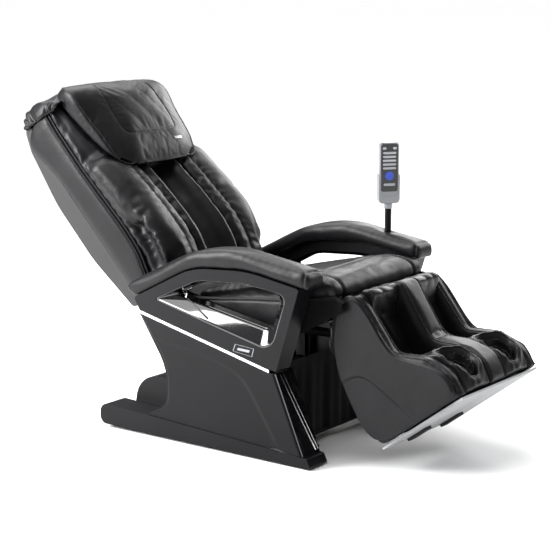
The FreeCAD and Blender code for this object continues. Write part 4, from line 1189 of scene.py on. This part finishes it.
def arc_outline(points, arc_steps=14, run_steps=24):
    """Points round an outline whose corners are arcs, the same number for each corner and each run."""
    corners = []
    for i, (across, up, radius) in enumerate(points):
        here = np.array([across, up])
        before = np.array(points[i - 1][:2]) - here
        after = np.array(points[(i + 1) % len(points)][:2]) - here
        before, after = before / np.linalg.norm(before), after / np.linalg.norm(after)
        half = math.acos(np.clip(before @ after, -1, 1)) / 2
        bisector = (before + after) / np.linalg.norm(before + after)
        centre = here + bisector * radius / math.sin(half)
        start, end = here + before * radius / math.tan(half), here + after * radius / math.tan(half)
        steps = np.linspace(0, 1, arc_steps)[:, None]
        chord = start + (end - start) * steps - centre
        corners.append(centre + chord / np.linalg.norm(chord, axis=1)[:, None] * radius)
    made = []
    for i, arc in enumerate(corners):
        following = corners[(i + 1) % len(corners)][0]
        run = arc[-1] + (following - arc[-1]) * np.linspace(0, 1, run_steps + 1)[1:-1, None]
        made += [arc, run]
    return np.concatenate(made)


def scoops():
    """Glossy mouldings in the openings under the arms: a sloping ledge, a lip, and a level inner face."""
    outer, lip = arc_outline(ARM_OPENING), arc_outline(SCOOP_LIP)
    for side, word in NAMED_SIDES:
        rings = []
        for share in np.linspace(0, 1, 7):
            x = OPENING_OUTER + (OPENING_LIP - OPENING_OUTER) * share
            rings.append(at_x(side * x, outer + (lip - outer) * share))
        for x, drop in ((OPENING_LIP - 0.001, 0.0008), (OPENING_LIP - 0.003, 0.002), (OPENING_INNER, 0.003)):
            rings.append(at_x(side * x, lip - [0, drop]))
        mesh = ring_mesh(f"{word}_scoop", rings, capped=False)
        obj = add_object(f"{word}_scoop", mesh, "piano_black", "root")
        thicken(obj, 0.0012)
        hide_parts("scoop_trims")
        # A dark strip along each ledge is a painted reflection: it stands in for the dark reflection that
        # crosses the glossy ledge.
        joint = bar("joint", (side * 0.346, 0.080, 0.480), (side * 0.368, -0.020, 0.430), 0.006, 0.0012,
                    (side * 0.88, 0.0, 0.47))
        add_object(f"{word}_ledge_painted_reflection", joint, "shell_black", "root")


PANEL_FACE, PANEL_TOP = 0.3748, 0.414
# (z, y) up the front and rear edges of a side panel, and (y, z) along the crease in its face.
PANEL_FRONT = [(0.037, -0.396), (0.288, -0.290), (0.290, -0.266), (0.4135, 0.2575)]
PANEL_REAR = [(0.037, -0.390), (0.0725, 0.228), (0.080, 0.205), (0.095, 0.178), (0.120, 0.152),
              (0.150, 0.1455), (0.210, 0.1455), (0.260, 0.156), (0.310, 0.184), (0.360, 0.218),
              (0.4135, 0.2585)]
PANEL_CREASE = [(0.240, 0.345), (0.156, 0.336), (-0.011, 0.317), (-0.133, 0.282), (-0.185, 0.244),
                (-0.244, 0.156), (-0.299, 0.073), (-0.322, 0.035)]


def side_skins():
    """The pressed outer face of each side panel: a raised border, and a field inside a soft crease."""
    levels = np.linspace(0.0385, 0.4125, 110)
    share = np.linspace(0, 1, 130)
    front_z, front_y = np.array(PANEL_FRONT).T
    rear_z, rear_y = np.array(PANEL_REAR).T
    crease = flowing(PANEL_CREASE, 0.004)
    for side, word in NAMED_SIDES:
        rows = []
        for z in levels:
            start, end = np.interp(z, front_z, front_y), np.interp(z, rear_z, rear_y)
            y = start + (end - start) * share
            flat = np.column_stack([y, np.full(len(y), z)])
            away = distance_to(flat, crease)
            inside = np.interp(y, crease[::-1, 0], crease[::-1, 1]) > z
            signed = np.where(inside, away, -away)
            field = 0.0035 * smoothstep(-0.004, 0.016, signed)
            edge = np.minimum(np.minimum(y - start, end - y), 0.006) / 0.006
            proud = 0.0044 * np.sqrt(np.clip(edge, 0, 1)) * min(1, (PANEL_TOP - z) / 0.004) - field
            rows.append(np.column_stack([side * (PANEL_FACE + proud), y, np.full(len(y), z)]))
        grid = np.array(rows)
        name = f"{word}_panel_skin"
        mesh = new_mesh(name, grid.reshape(-1, 3).tolist(), grid_faces(*grid.shape[:2], False))
        outwards(mesh)
        add_object(name, mesh, "shell_black", "root")


def bar(name, start, end, width, depth, face):
    """A flat strip from one point to another, lying on a surface with the given normal."""
    start, end, face = Vector(start), Vector(end), Vector(face).normalized()
    along = end - start
    mesh = box_mesh(name, along.length, depth, width)
    place_flat(mesh, (start + end) / 2 + face * depth / 2, along.normalized(), face)
    return mesh


FRONT_FACE = (0, -0.920, 0.392)           # the way that the slanted front of the base looks


def front_stripes():
    """Bright pinstripes down the slanted front of each side panel."""
    top, low = (-0.2962, 0.284), (-0.3995, 0.046)
    for side, word in NAMED_SIDES:
        for name, x_top, x_low, width in (("outer", 0.354, 0.306, 0.0036), ("inner", 0.338, 0.292, 0.0014)):
            mesh = bar("stripe", (side * x_top, *top), (side * x_low, *low), width, 0.0016, FRONT_FACE)
            add_object(f"{word}_{name}_stripe", mesh, "chrome_trim", "root")


BADGE = [(-0.136, 0.364), (-0.211, 0.358), (-0.203, 0.331), (-0.127, 0.340)]
ARM_FACE, BADGE_ROOT = 0.375, 0.3745


def badges():
    """A blank nameplate with a bright rim on the outside of each arm."""
    middle = np.mean(BADGE, axis=0)
    for side, word in NAMED_SIDES:
        for name, slot, outer, inner, proud in (("rim", "silver_plastic", 1.0, 0.94, 0.0008),
                                                ("face", "shell_black", 0.94, 0.62, 0.0005),
                                                ("bar", "silver_plastic", 0.62, 0.0, 0.0008)):
            rings = []
            face = ARM_FACE + proud
            for share, x in ((outer, BADGE_ROOT), (outer, face), (inner, face), (inner, BADGE_ROOT)):
                squash = np.array([share, share if name != "bar" else share * 0.5])
                flat = middle + (np.array(BADGE) - middle) * squash
                rings.append(at_x(side * x, flat))
            mesh = ring_mesh("badge", rings, capped=inner == 0)
            obj = add_object(f"{word}_badge_{name}", mesh, slot, "root")
            for polygon in obj.data.polygons:
                polygon.use_smooth = False


VALANCES = (("seat_valance", 0.150, -0.315, "black_leather", 0.0012, 0),
            ("bracket_cloth", -0.305, -0.478, "skirt_fabric", 0.002, 0.0012))
VALANCE_FALL = ((0, 0.2565), (0.05, 0.270), (0.18, 0.2775), (0.5, 0.279), (0.8, 0.278), (1, 0.276))


def valances():
    """Leather down each side of the seat, and slack dark cloth round the brackets ahead of it."""
    for side, word in NAMED_SIDES:
        for name, start, end, slot, wrinkle, proud in VALANCES:
            y = np.linspace(start, end, 90)
            top = np.interp(y, [-0.482, -0.44, -0.36, 0.15], [0.520, 0.536, 0.520, 0.466])
            low = np.interp(y, [-0.482, -0.44, -0.33, -0.28, 0.15], [0.492, 0.470, 0.408, 0.398, 0.398])
            rows = []
            for share, x in VALANCE_FALL:
                wave = wrinkle * np.sin(y * 60 + 3 * share) * share
                rows.append(np.stack([side * (x + wave + proud), y, top + (low - top) * share], 1))
            obj, flat = hanging_sheet(f"{word}_{name}", rows, slot, wrinkle)
            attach(obj, "root")


# ---------- build

def build():
    add_camera()
    add_studio()
    add_floor()
    dress_cad_nodes()
    back_padding()
    head_pillow()
    flap()
    back_gussets()
    seat()
    arm_pads()
    legrest()
    leg_skins()
    calf_channels()
    foot_rests()
    apron()
    bridges()
    scoops()
    side_skins()
    front_stripes()
    badges()
    valances()


build()
